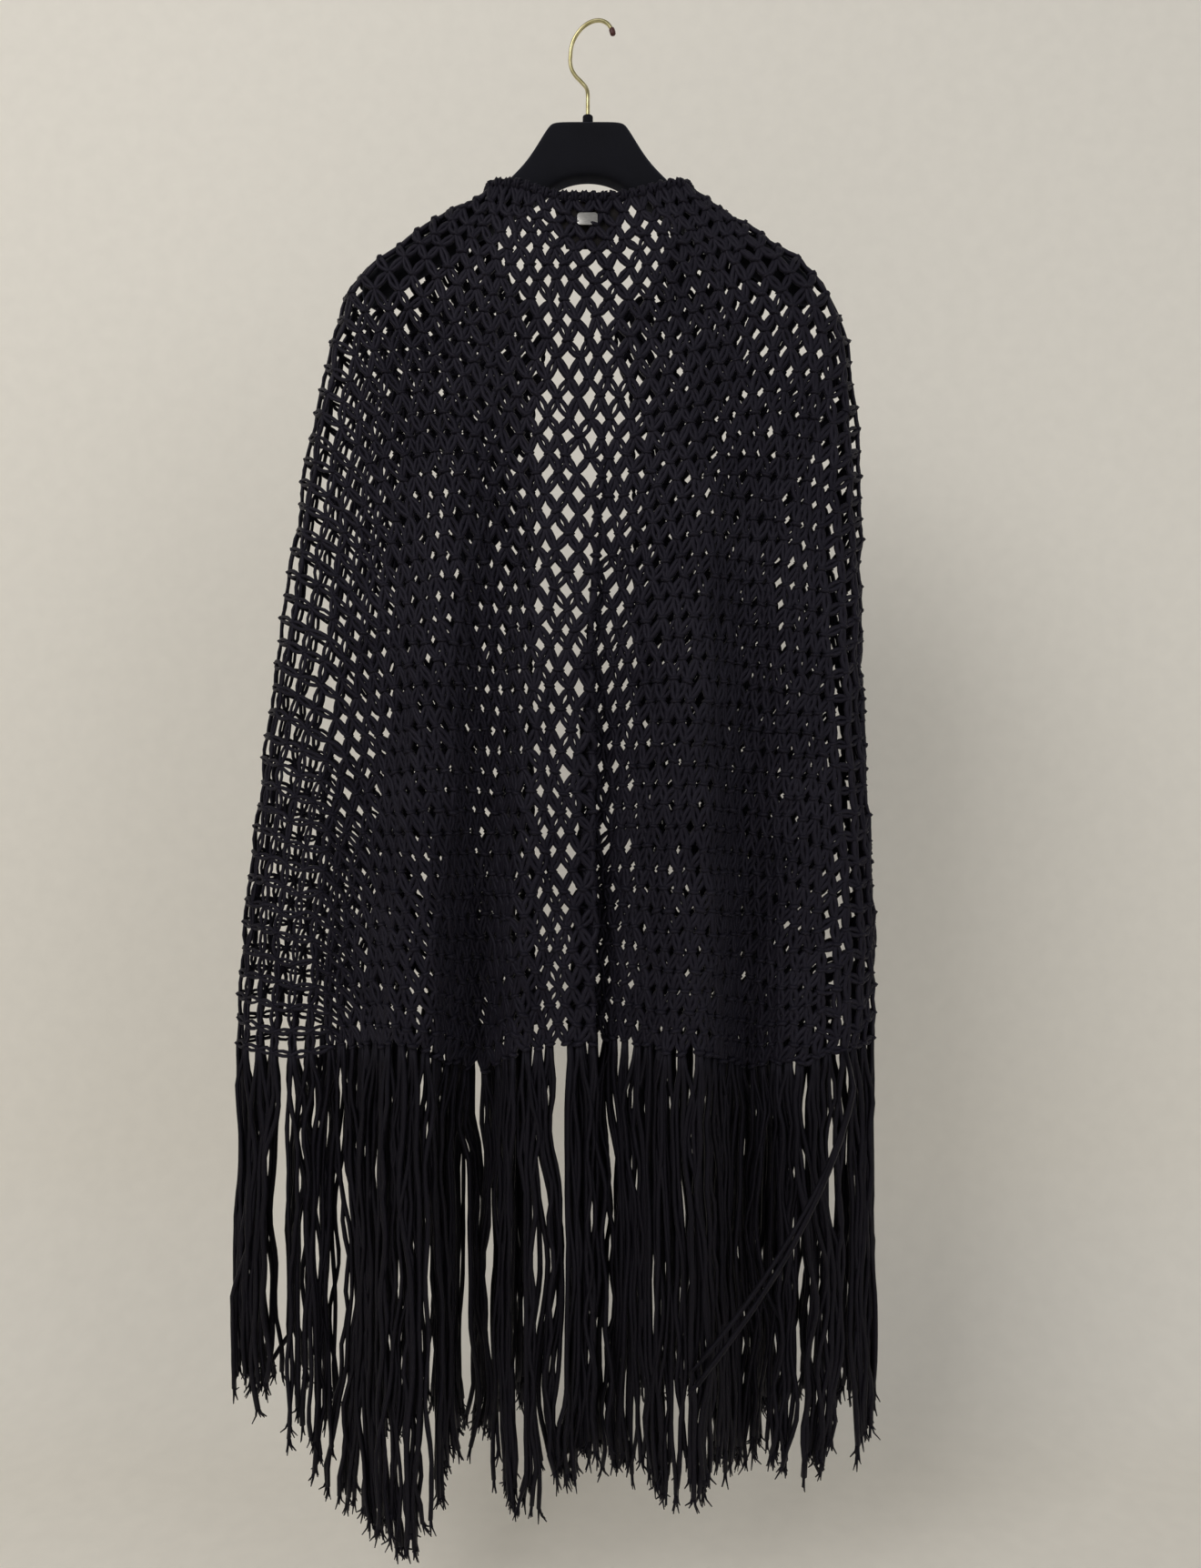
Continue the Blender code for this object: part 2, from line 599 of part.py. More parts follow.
def build():
    for o in list(bpy.data.objects):
        bpy.data.objects.remove(o, do_unlink=True)
    silk = material("silk_cord", (0.018, 0.017, 0.022), 0.62)
    edging = material("rolled_cord", (0.020, 0.019, 0.024), 0.60)
    strands = material("fringe_silk", (0.016, 0.015, 0.019), 0.58)
    patch = material("label_cloth", (0.020, 0.017, 0.016), 0.85)
    steel = material("plate_metal", (0.62, 0.60, 0.56), 0.35, 1.0)
    velvet = material("hanger_velvet", (0.010, 0.011, 0.020), 0.95)
    brass = material("hook_brass", (0.52, 0.47, 0.24), 0.32, 1.0)
    rubber = material("tip_rubber", (0.060, 0.012, 0.010), 0.55)
    for stretch in STRETCHES:
        net_panel(stretch.node, stretch.first, stretch.last, silk)
    neck_cord(edging)
    edge_cord("edge_cord_left", 0, 1, edging)
    edge_cord("edge_cord_right", LAST_FOLD, -1, edging)
    fringe("fringe_front_left", 0, LEFT_SIDE, "front", strands)
    fringe("fringe_back", LEFT_SIDE, RIGHT_SIDE, "back", strands)
    fringe("fringe_front_right", RIGHT_SIDE, LAST_FOLD, "front", strands)
    label_patch(patch)
    name_plate(steel)
    hanger_body(velvet)
    collar(velvet)
    hook_wire(brass)
    hook_tip(rubber)


build()
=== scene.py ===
import math

import bmesh
import bpy
import numpy as np
from mathutils import Matrix, Vector


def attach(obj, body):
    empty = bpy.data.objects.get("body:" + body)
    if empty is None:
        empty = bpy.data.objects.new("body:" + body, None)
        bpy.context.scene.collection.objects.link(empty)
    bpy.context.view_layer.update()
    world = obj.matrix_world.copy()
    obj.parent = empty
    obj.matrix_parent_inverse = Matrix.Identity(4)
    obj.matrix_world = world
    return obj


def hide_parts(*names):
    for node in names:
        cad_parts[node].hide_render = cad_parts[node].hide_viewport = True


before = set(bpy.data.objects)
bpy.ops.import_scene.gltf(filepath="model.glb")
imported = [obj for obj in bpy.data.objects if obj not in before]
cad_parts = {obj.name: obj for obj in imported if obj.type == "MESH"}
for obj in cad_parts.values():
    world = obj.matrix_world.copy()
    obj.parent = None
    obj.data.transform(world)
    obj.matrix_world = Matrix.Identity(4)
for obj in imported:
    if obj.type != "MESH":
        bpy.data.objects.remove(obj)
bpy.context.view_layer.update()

scene = bpy.context.scene
scene.view_settings.view_transform = "Standard"
scene.view_settings.look = "None"
draw = np.random.default_rng(11)  # every random value comes from here, in a fixed order


# Camera, at the photograph's view

view = {
    "place": (0.0128, -1.1606, -0.7468),
    "sensor": 36.0,
    "focal": 26.415,
    "shift": -0.01276,
    "nearest": 0.05,
}


def linked(name, data):  # a new object in the scene
    made = bpy.data.objects.new(name, data)
    scene.collection.objects.link(made)
    return made


def makeCamera():
    data = bpy.data.cameras.new("photo view")
    data.sensor_width = view["sensor"]
    data.lens = view["focal"]
    data.shift_y = view["shift"]
    data.clip_start = view["nearest"]
    camera = linked("photo view", data)
    camera.location = view["place"]
    camera.rotation_euler = (math.pi / 2, 0, 0)
    scene.camera = camera


makeCamera()


# Materials

class Wire:  # a socket's output that takes part in sums and products
    def __init__(self, paint, socket):
        self.paint = paint
        self.socket = socket

    def math(self, operation, first, second):
        return self.paint.node("ShaderNodeMath", {"operation": operation}, {0: first, 1: second})

    def __add__(self, other):
        return self.math("ADD", self, other)

    __radd__ = __add__

    def __sub__(self, other):
        return self.math("SUBTRACT", self, other)

    def __rsub__(self, other):
        return self.math("SUBTRACT", other, self)

    def __mul__(self, other):
        return self.math("MULTIPLY", self, other)

    __rmul__ = __mul__


class Paint:  # one material's nodes
    def __init__(self, name):
        self.material = bpy.data.materials.new(name)
        self.material.use_nodes = True
        self.tree = self.material.node_tree
        self.surface = self.tree.nodes["Principled BSDF"]

    def node(self, kind, settings=None, inputs=None, output=0):
        made = self.tree.nodes.new(kind)
        for key, value in (settings or {}).items():
            if key == "stops":
                for stop, (position, colour) in zip(made.color_ramp.elements, value):
                    stop.position = position
                    stop.color = (*colour, 1.0)
            else:
                setattr(made, key, value)
        for key, value in (inputs or {}).items():
            self.feed(made.inputs[key], value)
        return Wire(self, made.outputs[output])

    def feed(self, socket, value):  # with a link or a constant
        if isinstance(value, Wire):
            self.tree.links.new(value.socket, socket)
        else:
            socket.default_value = value

    def place(self):
        return self.node("ShaderNodeTexCoord", output="Object")

    def stretched(self, vector, scale):
        return self.node("ShaderNodeMapping", inputs={"Vector": vector, "Scale": scale})

    def noise(self, vector, scale, detail=2.0, roughness=0.5):
        inputs = {"Vector": vector, "Scale": scale, "Detail": detail, "Roughness": roughness}
        return self.node("ShaderNodeTexNoise", inputs=inputs, output="Fac")

    def ramp(self, factor, *stops):
        return self.node("ShaderNodeValToRGB", {"stops": stops}, {"Fac": factor}, "Color")

    def set(self, **values):  # constants and links of the surface, by socket name with _ for a space
        for key, value in values.items():
            self.feed(self.surface.inputs[key.replace("_", " ")], value)
        return self

    def bump(self, height, strength, distance):
        inputs = {"Height": height, "Strength": strength, "Distance": distance}
        return self.set(Normal=self.node("ShaderNodeBump", inputs=inputs, output="Normal"))


# scale: how small the paler patches are; upright: how much taller than wide
def silkPaint(name, dark, lit, roughness, sheen, upright=1.0, scale=14.0):
    paint = Paint(name)
    place = paint.place()
    patches = paint.noise(paint.stretched(place, (1.0, 1.0, 1.0 / upright)), scale, 3.0)
    fuzz = paint.noise(place, 900.0, 3.0, 0.7)
    fibres = paint.noise(paint.stretched(place, (1.0, 1.0, 0.35)), 2600.0, 1.0)
    paint.set(Base_Color=paint.ramp(patches * 0.6 + fuzz * 0.4, (0.32, dark), (0.68, lit)))
    paint.set(Roughness=fuzz * 0.24 + (roughness - 0.12))
    paint.set(Sheen_Weight=sheen, Sheen_Roughness=0.45, Sheen_Tint=(0.7, 0.67, 0.92, 1.0))
    paint.set(Specular_IOR_Level=0.2, Specular_Tint=(0.85, 0.8, 1.0, 1.0))
    return paint.bump(fuzz * 0.6 + fibres * 0.4, 0.55, 0.0006).material


def velvetPaint():
    paint = Paint("hanger velvet")
    place = paint.place()
    pile = paint.noise(place, 1500.0, 2.0, 0.8)
    rubbed = paint.noise(place, 22.0, 3.0)
    dark, lit = (0.0025, 0.0026, 0.0046), (0.0055, 0.0058, 0.01)
    paint.set(Base_Color=paint.ramp(rubbed * 0.5 + pile * 0.5, (0.3, dark), (0.7, lit)))
    paint.set(Roughness=pile * 0.15 + 0.82, Sheen_Weight=0.14, Sheen_Roughness=0.35)
    paint.set(Sheen_Tint=(0.55, 0.6, 0.95, 1.0), Specular_IOR_Level=0.2)
    return paint.bump(pile, 0.5, 0.0004).material


def brassPaint():
    paint = Paint("hook brass")
    place = paint.place()
    worn = paint.noise(place, 90.0, 3.0)
    scratches = paint.noise(paint.stretched(place, (1.0, 1.0, 0.08)), 3000.0, 1.0)
    paint.set(Base_Color=paint.ramp(worn, (0.35, (0.42, 0.37, 0.17)), (0.7, (0.66, 0.6, 0.36))))
    paint.set(Metallic=1.0, Roughness=worn * 0.2 + scratches * 0.12 + 0.16)
    return paint.bump(scratches, 0.12, 0.0002).material


def platePaint():
    paint = Paint("plain plate metal")
    place = paint.place()
    brushed = paint.noise(paint.stretched(place, (0.06, 1.0, 1.0)), 4000.0, 2.0)
    paint.set(Base_Color=paint.ramp(brushed, (0.3, (0.38, 0.37, 0.36)), (0.7, (0.56, 0.55, 0.53))))
    paint.set(Metallic=1.0, Roughness=brushed * 0.2 + 0.22)
    return paint.bump(brushed, 0.15, 0.0001).material


def capPaint():
    paint = Paint("hook cap rubber")
    grain = paint.noise(paint.place(), 1200.0, 2.0)
    paint.set(Base_Color=paint.ramp(grain, (0.3, (0.04, 0.007, 0.006)), (0.7, (0.085, 0.018, 0.014))))
    paint.set(Roughness=grain * 0.15 + 0.42)
    return paint.bump(grain, 0.2, 0.0002).material


def patchPaint():
    paint = Paint("label cloth")
    place = paint.place()
    threads = paint.noise(paint.stretched(place, (1.0, 1.0, 0.5)), 1400.0, 3.0, 0.7)
    patches = paint.noise(place, 60.0, 2.0)
    mixed = threads * 0.6 + patches * 0.4
    paint.set(Base_Color=paint.ramp(mixed, (0.3, (0.005, 0.004, 0.004)), (0.7, (0.015, 0.012, 0.012))))
    paint.set(Roughness=threads * 0.2 + 0.72, Sheen_Weight=0.04, Specular_IOR_Level=0.2)
    return paint.bump(threads, 0.6, 0.0006).material


def wallPaint(name, colour):
    paint = Paint(name)
    grain = paint.noise(paint.place(), 40.0, 2.0)
    paler = tuple(min(c * 1.03, 1.0) for c in colour)
    behind = paint.node("ShaderNodeNewGeometry", output="Backfacing")
    paint.set(Base_Color=paint.ramp(grain, (0.3, colour), (0.7, paler)), Roughness=0.9)
    paint.set(Alpha=1.0 - behind)  # seen through from behind, so that it never hides the cape
    return paint.material


silkNet = silkPaint("net silk", (0.0033, 0.0028, 0.0059), (0.01, 0.0091, 0.0142), 0.56, 0.03)
silkRope = silkPaint("rope silk", (0.0034, 0.003, 0.0056), (0.0086, 0.0078, 0.013), 0.62, 0.03)
silkFringe = silkPaint("fringe silk", (0.0006, 0.0005, 0.0012), (0.0045, 0.004, 0.0066), 0.56, 0.014,
                       upright=30.0, scale=130.0)
velvet, brass, plateMetal = velvetPaint(), brassPaint(), platePaint()
capRubber, patchCloth = capPaint(), patchPaint()
print("materials made")


# The cloth's hanging form: its plan by height, the front edges, and the fold lines round it

cape = {
    # millimetres: height, left side, right side, half depth; and how square the plan is
    "levels": np.array([
        (-170, -99, 101, 22, 5), (-182, -112.5, 116, 23.5, 5), (-201, -149, 142.5, 26, 5),
        (-222, -180, 179, 29, 5), (-240, -205.5, 209.5, 31.5, 5), (-255, -224.5, 225.5, 33, 5),
        (-272, -238.5, 239.5, 34.5, 5), (-297, -249, 251, 35, 4.8), (-323, -257, 259, 35, 4.5),
        (-400, -274.5, 269, 35, 4), (-500, -290.5, 273.5, 36, 3.5), (-620, -308.5, 273.5, 38, 3),
        (-760, -326, 278.5, 40, 3), (-900, -343, 285, 42, 3), (-1040, -352, 284, 44, 3),
    ]) / (1000, 1000, 1000, 1000, 1),
    "openings": np.array([  # millimetres: height, left front edge, right front edge
        (-170, -94, 93), (-195, -97.5, 95.5), (-220, -97, 92.5), (-250, -85, 76),
        (-275, -68, 50), (-297, -50, 33.5), (-320, -49.5, 33.5), (-350, -54, 45),
        (-390, -64, 49), (-500, -64, 51), (-620, -63, 55), (-1040, -59, 58),
    ]) / 1000,
    # thousandths: share across the panel at the top and at the hem, depth at the hem, start, hem height
    "folds": {
        "left": [
            (0, 0, 60, -300, -1020), (60, 40, 76, -340, -1020), (120, 95, 44, -360, -1030),
            (200, 175, 10, -400, -1052), (280, 260, 42, -360, -1036), (360, 325, 82, -320, -1014),
            (460, 425, 84, -320, -1010), (560, 490, 60, -340, -1014), (620, 485, 38, -340, -1018),
            (700, 590, 30, -360, -1023), (840, 790, 36, -400, -1030), (950, 935, 26, -400, -1028),
        ],
        "back": [
            (0, 0, -4, -400, -1026), (30, 30, -28, -400, -1026), (100, 100, -38, -400, -1030),
            (180, 182, -30, -360, -1024), (230, 235, -60, -340, -1014), (270, 268, -84, -320, -1010),
            (310, 311, -82, -320, -1014), (350, 347, -42, -360, -1036), (390, 388, -18, -400, -1052),
            (450, 452, -76, -340, -1018), (480, 492, -64, -340, -1014), (520, 560, -60, -340, -1014),
            (540, 525, -42, -360, -1014), (560, 560, -24, -360, -1014), (600, 607, -46, -340, -1014),
            (640, 646, -66, -320, -1016), (680, 682, -82, -320, -1016), (720, 724, -82, -320, -1018),
            (760, 764, -46, -360, -1034), (800, 800, -18, -400, -1046), (860, 862, -50, -380, -1032),
            (920, 922, -48, -400, -1026), (970, 970, -34, -400, -1024), (1000, 1000, -4, -400, -1020),
        ],
        "right": [
            (920, 930, 30, -400, -1022), (780, 775, 56, -380, -1024), (640, 620, 70, -340, -1026),
            (540, 535, 44, -360, -1036), (450, 455, 10, -400, -1046), (340, 335, 52, -360, -1030),
            (220, 210, 84, -320, -1016), (100, 90, 80, -320, -1016), (0, 0, 58, -300, -1020),
        ],
    },
    "leftSide": 12,
    "middle": 23.5,
    "rightSide": 35,
    "shoulderZ": -0.27,
    "hemZ": -1.03,
    "neckZ": -0.174,
    "neckFrontZ": -0.1775,
    "neckSag": 0.0175,  # how far the rim hangs lower at the back of the neck
    "neckSagSpread": 9.2,
    "foldGrowth": 0.8,
    "belowHem": 1.05,
}
foldPanel = np.repeat(list(cape["folds"]), [len(rows) for rows in cape["folds"].values()])
shareTop, shareHem, foldDepth, foldStart, foldHem = np.concatenate(list(cape["folds"].values())).T / 1000
lastFold = len(foldPanel) - 1


def between(first, last, share):
    return first + (last - first) * share


def hermite(t, start, end, startSlope, endSlope):
    up = t * t * (3 - 2 * t)
    return (1 - up) * start + up * end + t * (1 - t) ** 2 * startSlope + t * t * (t - 1) * endSlope


def byHeight(rows, column, z):  # a smooth value of a table's column at the heights z
    heights, values = -rows[:, 0], rows[:, column]
    at = np.clip(-z, heights[0], heights[-1])
    i = np.clip(np.searchsorted(heights, at) - 1, 0, len(heights) - 2)
    before = np.maximum(np.arange(len(heights)) - 1, 0)
    after = np.minimum(np.arange(len(heights)) + 1, len(heights) - 1)
    slope = (values[after] - values[before]) / (heights[after] - heights[before])
    span = heights[i + 1] - heights[i]
    return hermite((at - heights[i]) / span, values[i], values[i + 1], slope[i] * span, slope[i + 1] * span)


def ease(t):
    t = np.clip(t, 0.0, 1.0)
    return t * t * (3 - 2 * t)


def foldPlan(k, z):  # where the fold lines k cross the heights z, seen from above
    left, right, depth, square = (byHeight(cape["levels"], column, z) for column in (1, 2, 3, 4))
    down = np.clip((cape["shoulderZ"] - z) / (cape["shoulderZ"] - cape["hemZ"]), 0.0, cape["belowHem"])
    share = between(shareTop[k], shareHem[k], ease(down))
    onBack, onLeft = foldPanel[k] == "back", foldPanel[k] == "left"
    edge = np.where(onLeft, byHeight(cape["openings"], 1, z), byHeight(cape["openings"], 2, z))
    side = np.where(onLeft, left, right)
    x = np.where(onBack, between(left, right, share), between(edge, side, share))
    out = np.where(onBack, np.abs(2 * shareTop[k] - 1), shareTop[k])
    flat = np.where(onBack, -1, 1) * depth * np.maximum(1 - out**square, 0.0) ** (1 / square)
    grown = np.clip((foldStart[k] - z) / (foldStart[k] - cape["hemZ"]), 0.0, cape["belowHem"])
    return np.stack([x, between(flat, foldDepth[k], grown ** cape["foldGrowth"])], -1)


def clothPoint(around, down):  # points of the cloth: around counts fold lines, down goes from neck to hem
    around, down = np.broadcast_arrays(np.asarray(around, float), np.asarray(down, float))
    i = np.clip(np.floor(around).astype(int), 0, lastFold - 1)
    t = around - i
    hem = between(foldHem[i], foldHem[i + 1], ease(t))
    past = (around - cape["rightSide"]) / (lastFold - cape["rightSide"])
    front = np.maximum(1 - around / cape["leftSide"], past)
    fromSide = np.minimum(around - cape["leftSide"], cape["rightSide"] - around)
    top = between(cape["neckZ"], cape["neckFrontZ"], ease(front))
    top = top - cape["neckSag"] * ease(fromSide / cape["neckSagSpread"])
    z = between(top, hem, down)
    a, b, c, d = (foldPlan(np.clip(i + n, 0, lastFold), z) for n in (-1, 0, 1, 2))
    a = np.where((i == 0)[..., None], 2 * b - c, a)
    d = np.where((i == lastFold - 1)[..., None], 2 * c - b, d)
    before, inside, after = (
        np.maximum(np.sqrt(np.linalg.norm(gap, axis=-1)), 1e-4)[..., None] for gap in (b - a, c - b, d - c)
    )
    first = (b - a) / before - (c - a) / (before + inside) + (c - b) / inside
    last = (c - b) / inside - (d - b) / (inside + after) + (d - c) / after
    plan = hermite(t[..., None], b, c, first * inside, last * inside)
    return np.concatenate([plan, z[..., None]], -1)


def unit(vectors):
    return vectors / np.maximum(np.linalg.norm(vectors, axis=-1, keepdims=True), 1e-9)


def clothOut(around, down):  # the directions out of the cape
    step = 0.02
    before, after = np.maximum(around - step, 0), np.minimum(around + step, lastFold)
    across = clothPoint(after, down) - clothPoint(before, down)
    up = clothPoint(around, np.maximum(down - step, 0)) - clothPoint(around, np.minimum(down + step, 1))
    return unit(np.cross(across, up))


# Where the knots lie. The net hangs from the neck with its columns upright in the middle of the back
# and turns a corner at each side, so that its legs are level there. The fronts mirror the back as far
# as their edges. Rows count from the neck, columns from the middle, and knots alternate.

net = {
    "rows": 45,
    "neckColumns": 18,  # each side of the middle, an even number
    "corner": 78,  # column past the neck and row together, where the corner of the net is cut off
    "levelLeg": 2.2,  # room for a level leg at the side, against a column
    "neckRows": 0.25,  # how much closer the first rows lie
    "bunched": 0.55,  # how much the columns gather at the corners of the neck
    "bunchedTo": 0.14,
    "settleSteps": 300,
    "stiffness": 0.42,
    "legs": ((0.0135, 0.0168), (0.0182, 0.0222)),  # least and most length of a leg, at the neck and lower
    "besides": (0.006, 0.013),  # least distance of neighbours in a row, at the neck and lower
    "below": (0.011, 0.017),  # least distance of neighbours in a column, at the neck and lower
    "lowerFrom": 0.2,
    "mostMove": (0.25, 0.01),  # of a knot in one step, around and down
    "looseness": 0.0013,
    "edgeLooseness": 0.4,  # a share of it
    "levels": 65,  # rings on which lengths are measured
    "rays": (121, 101),  # lines down the cloth on which they are measured, of half the back and of a front
}


def knotGrid():  # each knot's own numbers, and those of its place when the front is laid on the back
    found = []
    most, neck = net["rows"] + net["neckColumns"], net["neckColumns"]
    for row in range(-neck, net["rows"] + 1):
        for column in range(-most, most + 1):
            beyond = abs(column) - neck
            if (row + column) % 2 or (row < 0 and beyond < 0):
                continue
            onBack = beyond <= row
            laidColumn, laidRow = (abs(column), row) if onBack else (neck + row, beyond)
            if laidRow <= net["rows"] and laidColumn - neck + laidRow <= net["corner"]:
                found.append((column, row, laidColumn, laidRow, onBack))
    columns, rows, laidColumns, laidRows, onBack = np.array(found).T
    return columns, rows, laidColumns, laidRows, onBack.astype(bool)


def ringTable(rays, levels):  # lengths along rings that lie at equal shares of each ray's length
    downs = np.linspace(0, 1, net["levels"])
    points = clothPoint(rays[:, None], downs[None, :])
    steps = np.linalg.norm(np.diff(points, axis=1), axis=-1)
    lengths = np.concatenate([np.zeros((len(rays), 1)), np.cumsum(steps, axis=1)], axis=1)
    shares = lengths / lengths[:, -1:]
    wanted = levels - net["neckRows"] * levels * (1 - levels) ** 4
    table = np.array([np.interp(wanted, share, downs) for share in shares])
    ring = clothPoint(rays[:, None], table)
    around = np.linalg.norm(np.diff(ring, axis=0), axis=-1)
    missing = np.abs(ring[-1, :, 0] - ring[0, :, 0])  # from the front edge to the middle
    return table, np.concatenate([np.zeros((1, len(levels))), np.cumsum(around, axis=0)], axis=0), missing


def spreadKnots(columns, laidColumns, laidRows, onBack):  # a first place for each knot on its ring
    neck, corner = net["neckColumns"], net["corner"]
    level = np.maximum(laidRows / net["rows"], (np.maximum(laidColumns - neck, 0) + laidRows) / corner)
    straight = neck + (corner - net["rows"]) * level  # columns of the back's half of a ring
    turned = (2 * net["rows"] - corner) * level / 2  # level legs of it
    along = np.minimum(laidColumns, straight) + net["levelLeg"] * np.maximum(laidColumns - straight, 0)
    share = np.clip(along / (straight + net["levelLeg"] * turned), 0, 1)
    bunched = net["bunched"] * (1 - ease(level / net["bunchedTo"]))
    share = (1 - bunched) * share + bunched * (1 - (1 - share) ** 2)
    levels = np.linspace(0, 1, net["levels"])
    backRays, frontRays = net["rays"]
    around, down, inside = np.zeros(len(share)), np.zeros(len(share)), np.ones(len(share), bool)
    for towards in (-1, 1):
        end, side = (0, cape["leftSide"]) if towards < 0 else (lastFold, cape["rightSide"])
        backHalf, front = np.linspace(cape["middle"], side, backRays), np.linspace(side, end, frontRays)
        rays = np.concatenate([backHalf, front[1:]])
        table, lengths, missing = ringTable(rays, levels)
        for k in np.flatnonzero((columns * towards > 0) | ((columns == 0) & (towards > 0))):
            ring = np.array([np.interp(level[k], levels, line) for line in lengths])
            if onBack[k]:
                place = share[k] * ring[backRays - 1]
            else:
                whole = ring[-1] + np.interp(level[k], levels, missing)
                place = whole - share[k] * (whole - ring[backRays - 1])
            inside[k] = place <= ring[-1]
            at = np.clip(np.interp(place, ring, np.arange(len(rays))), 0, len(rays) - 1.001)
            low = int(at)
            around[k] = between(rays[low], rays[low + 1], at - low)
            if not inside[k]:
                around[k] = end
            ends = [np.interp(level[k], levels, table[n]) for n in (low, low + 1)]
            down[k] = between(*ends, at - low)
    return around, down, inside


def neighbours(columns, rows, *steps):
    where = {(c, r): k for k, (c, r) in enumerate(zip(columns, rows))}
    found = [(k, where.get((c + dc, r + dr))) for (c, r), k in where.items() for dc, dr in steps]
    return np.array([p for p in found if p[1] is not None]).T


def settleKnots(around, down):  # legs pull, neighbours push, and the edges stay on their lines
    legs = neighbours(columns, rows, (1, 1), (-1, 1))
    besides, below = neighbours(columns, rows, (2, 0)), neighbours(columns, rows, (0, 2))
    step = 0.02
    mostAround, mostDown = net["mostMove"]
    for turn in range(net["settleSteps"]):
        points = clothPoint(around, down)
        move = np.zeros_like(points)
        count = np.zeros(len(points))
        lower = ease(down / net["lowerFrom"])
        for (i, j), neckBand, lowerBand in (
            (legs, *net["legs"]),
            (besides, (net["besides"][0], 1.0), (net["besides"][1], 1.0)),
            (below, (net["below"][0], 1.0), (net["below"][1], 1.0)),
        ):
            share = (lower[i] + lower[j]) / 2
            low, high = (between(neckBand[n], lowerBand[n], share) for n in (0, 1))
            gap = points[j] - points[i]
            length = np.linalg.norm(gap, axis=1)
            wrong = np.where(length > high, length - high, np.where(length < low, length - low, 0.0))
            shift = gap * (wrong / np.maximum(length, 1e-6) * net["stiffness"])[:, None]
            np.add.at(move, i, shift)
            np.add.at(move, j, -shift)
            np.add.at(count, i, 1)
            np.add.at(count, j, 1)
        move *= (2.0 / np.sqrt(count))[:, None]
        before, after = np.clip(around - step, 0, lastFold), np.clip(around + step, 0, lastFold)
        across = (clothPoint(after, down) - clothPoint(before, down)) / (2 * step)
        along = (clothPoint(around, np.clip(down + step, 0, 1.05)) - clothPoint(around, down)) / step
        aa, ad, dd = (np.sum(p * q, axis=1) for p, q in ((across, across), (across, along), (along, along)))
        ma, md = np.sum(move * across, axis=1), np.sum(move * along, axis=1)
        scale = np.maximum(aa * dd - ad * ad, 1e-10)
        around = around + np.clip((dd * ma - ad * md) / scale, -mostAround, mostAround) * ~(atNeck | atEdge)
        down = down + np.clip((aa * md - ad * ma) / scale, -mostDown, mostDown) * ~(atNeck | atHem)
        around, down = np.clip(around, 0, lastFold), np.clip(down, 0, 1)
    return around, down, legs


columns, rows, laidColumns, laidRows, onBack = knotGrid()
around, down, inside = spreadKnots(columns, laidColumns, laidRows, onBack)
kept = inside.copy()
for one, other in neighbours(columns, rows, (1, 1), (-1, 1)).T:  # the first knots past an edge lie on it
    kept[one] |= inside[other]
    kept[other] |= inside[one]
columns, rows, laidColumns, laidRows, around, down, inside = (
    values[kept] for values in (columns, rows, laidColumns, laidRows, around, down, inside)
)
atNeck, atEdge = (laidRows == 0) & inside, ~inside
atHem = (laidRows == net["rows"]) | (laidColumns - net["neckColumns"] + laidRows == net["corner"])
around, down, legPairs = settleKnots(around, down)
knotPoints = clothPoint(around, down)
legLengths = np.linalg.norm(knotPoints[legPairs[0]] - knotPoints[legPairs[1]], axis=1)
print("knots placed:", len(rows), "legs:", len(legLengths), "usual leg:", round(np.median(legLengths), 4))


def within(first, last):  # which knots lie between two fold lines
    return (around >= first) & ((around < last) | (last == lastFold))


# The net's cords: each leg is two cords that bow apart and cross at the knots

cords = {
    "radius": 0.0024,
    "fuller": ((-0.35, -0.25, -0.17, 0.0, 0.12, 0.29),  # how thick the cords are by their place across
               (0.72, 0.8, 1.01, 1.12, 1.07, 1.01)),
    "bow": (0.0022, 0.0027),  # near the neck and lower
    "bowTo": 0.2,
    "bowUneven": 0.22,
    "layer": 0.0011,
    "lift": 0.0005,
    "thicker": 0.07,
    "swell": (0.05, 2.1),  # size and pace of the slow change of thickness along a cord
    "stretches": [  # piece, first and last fold line, steps of a leg, and the solids it stands for
        ("net_left_front", 0, 12, 3, ("net_front_left", "net_side_left")),
        ("net_left_back", 12, 23.5, 4, ("net_back_left", "net_back_middle")),
        ("net_right_back", 23.5, 35, 4, ("net_back_right",)),
        ("net_right_front", 35, 44, 3, ("net_front_right", "net_side_right")),
    ],
}


def placed(piece, slot, *nodes):  # rides on the body and stands for the solids, if any
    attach(piece, "root")
    if nodes:
        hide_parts(*nodes)
    return piece


def curvePiece(name, splines, radius, look, sides=1, cyclic=False):  # splines: (points, radii or None)
    curve = bpy.data.curves.new(name, "CURVE")
    curve.dimensions = "3D"
    curve.bevel_depth = radius
    curve.bevel_resolution = sides
    curve.use_fill_caps = not cyclic
    for points, radii in splines:
        spline = curve.splines.new("POLY")
        spline.points.add(len(points) - 1)
        spline.points.foreach_set("co", np.column_stack([points, np.ones(len(points))]).ravel())
        if radii is not None:
            spline.points.foreach_set("radius", np.asarray(radii, float))
        spline.use_cyclic_u = cyclic
        spline.use_smooth = True
    shaped = linked(name + " curve", curve)
    bpy.context.view_layer.update()
    mesh = bpy.data.meshes.new_from_object(shaped.evaluated_get(bpy.context.evaluated_depsgraph_get()))
    bpy.data.objects.remove(shaped)
    bm = bmesh.new()
    bm.from_mesh(mesh)
    bmesh.ops.remove_doubles(bm, verts=bm.verts, dist=1e-7)  # joins the caps to their tubes
    bm.to_mesh(mesh)
    bm.free()
    mesh.materials.clear()
    mesh.materials.append(look)
    return linked(name, mesh)


def running(line):  # how far along a line each of its points lies
    return np.concatenate([[0], np.cumsum(np.linalg.norm(np.diff(line, axis=0), axis=1))])


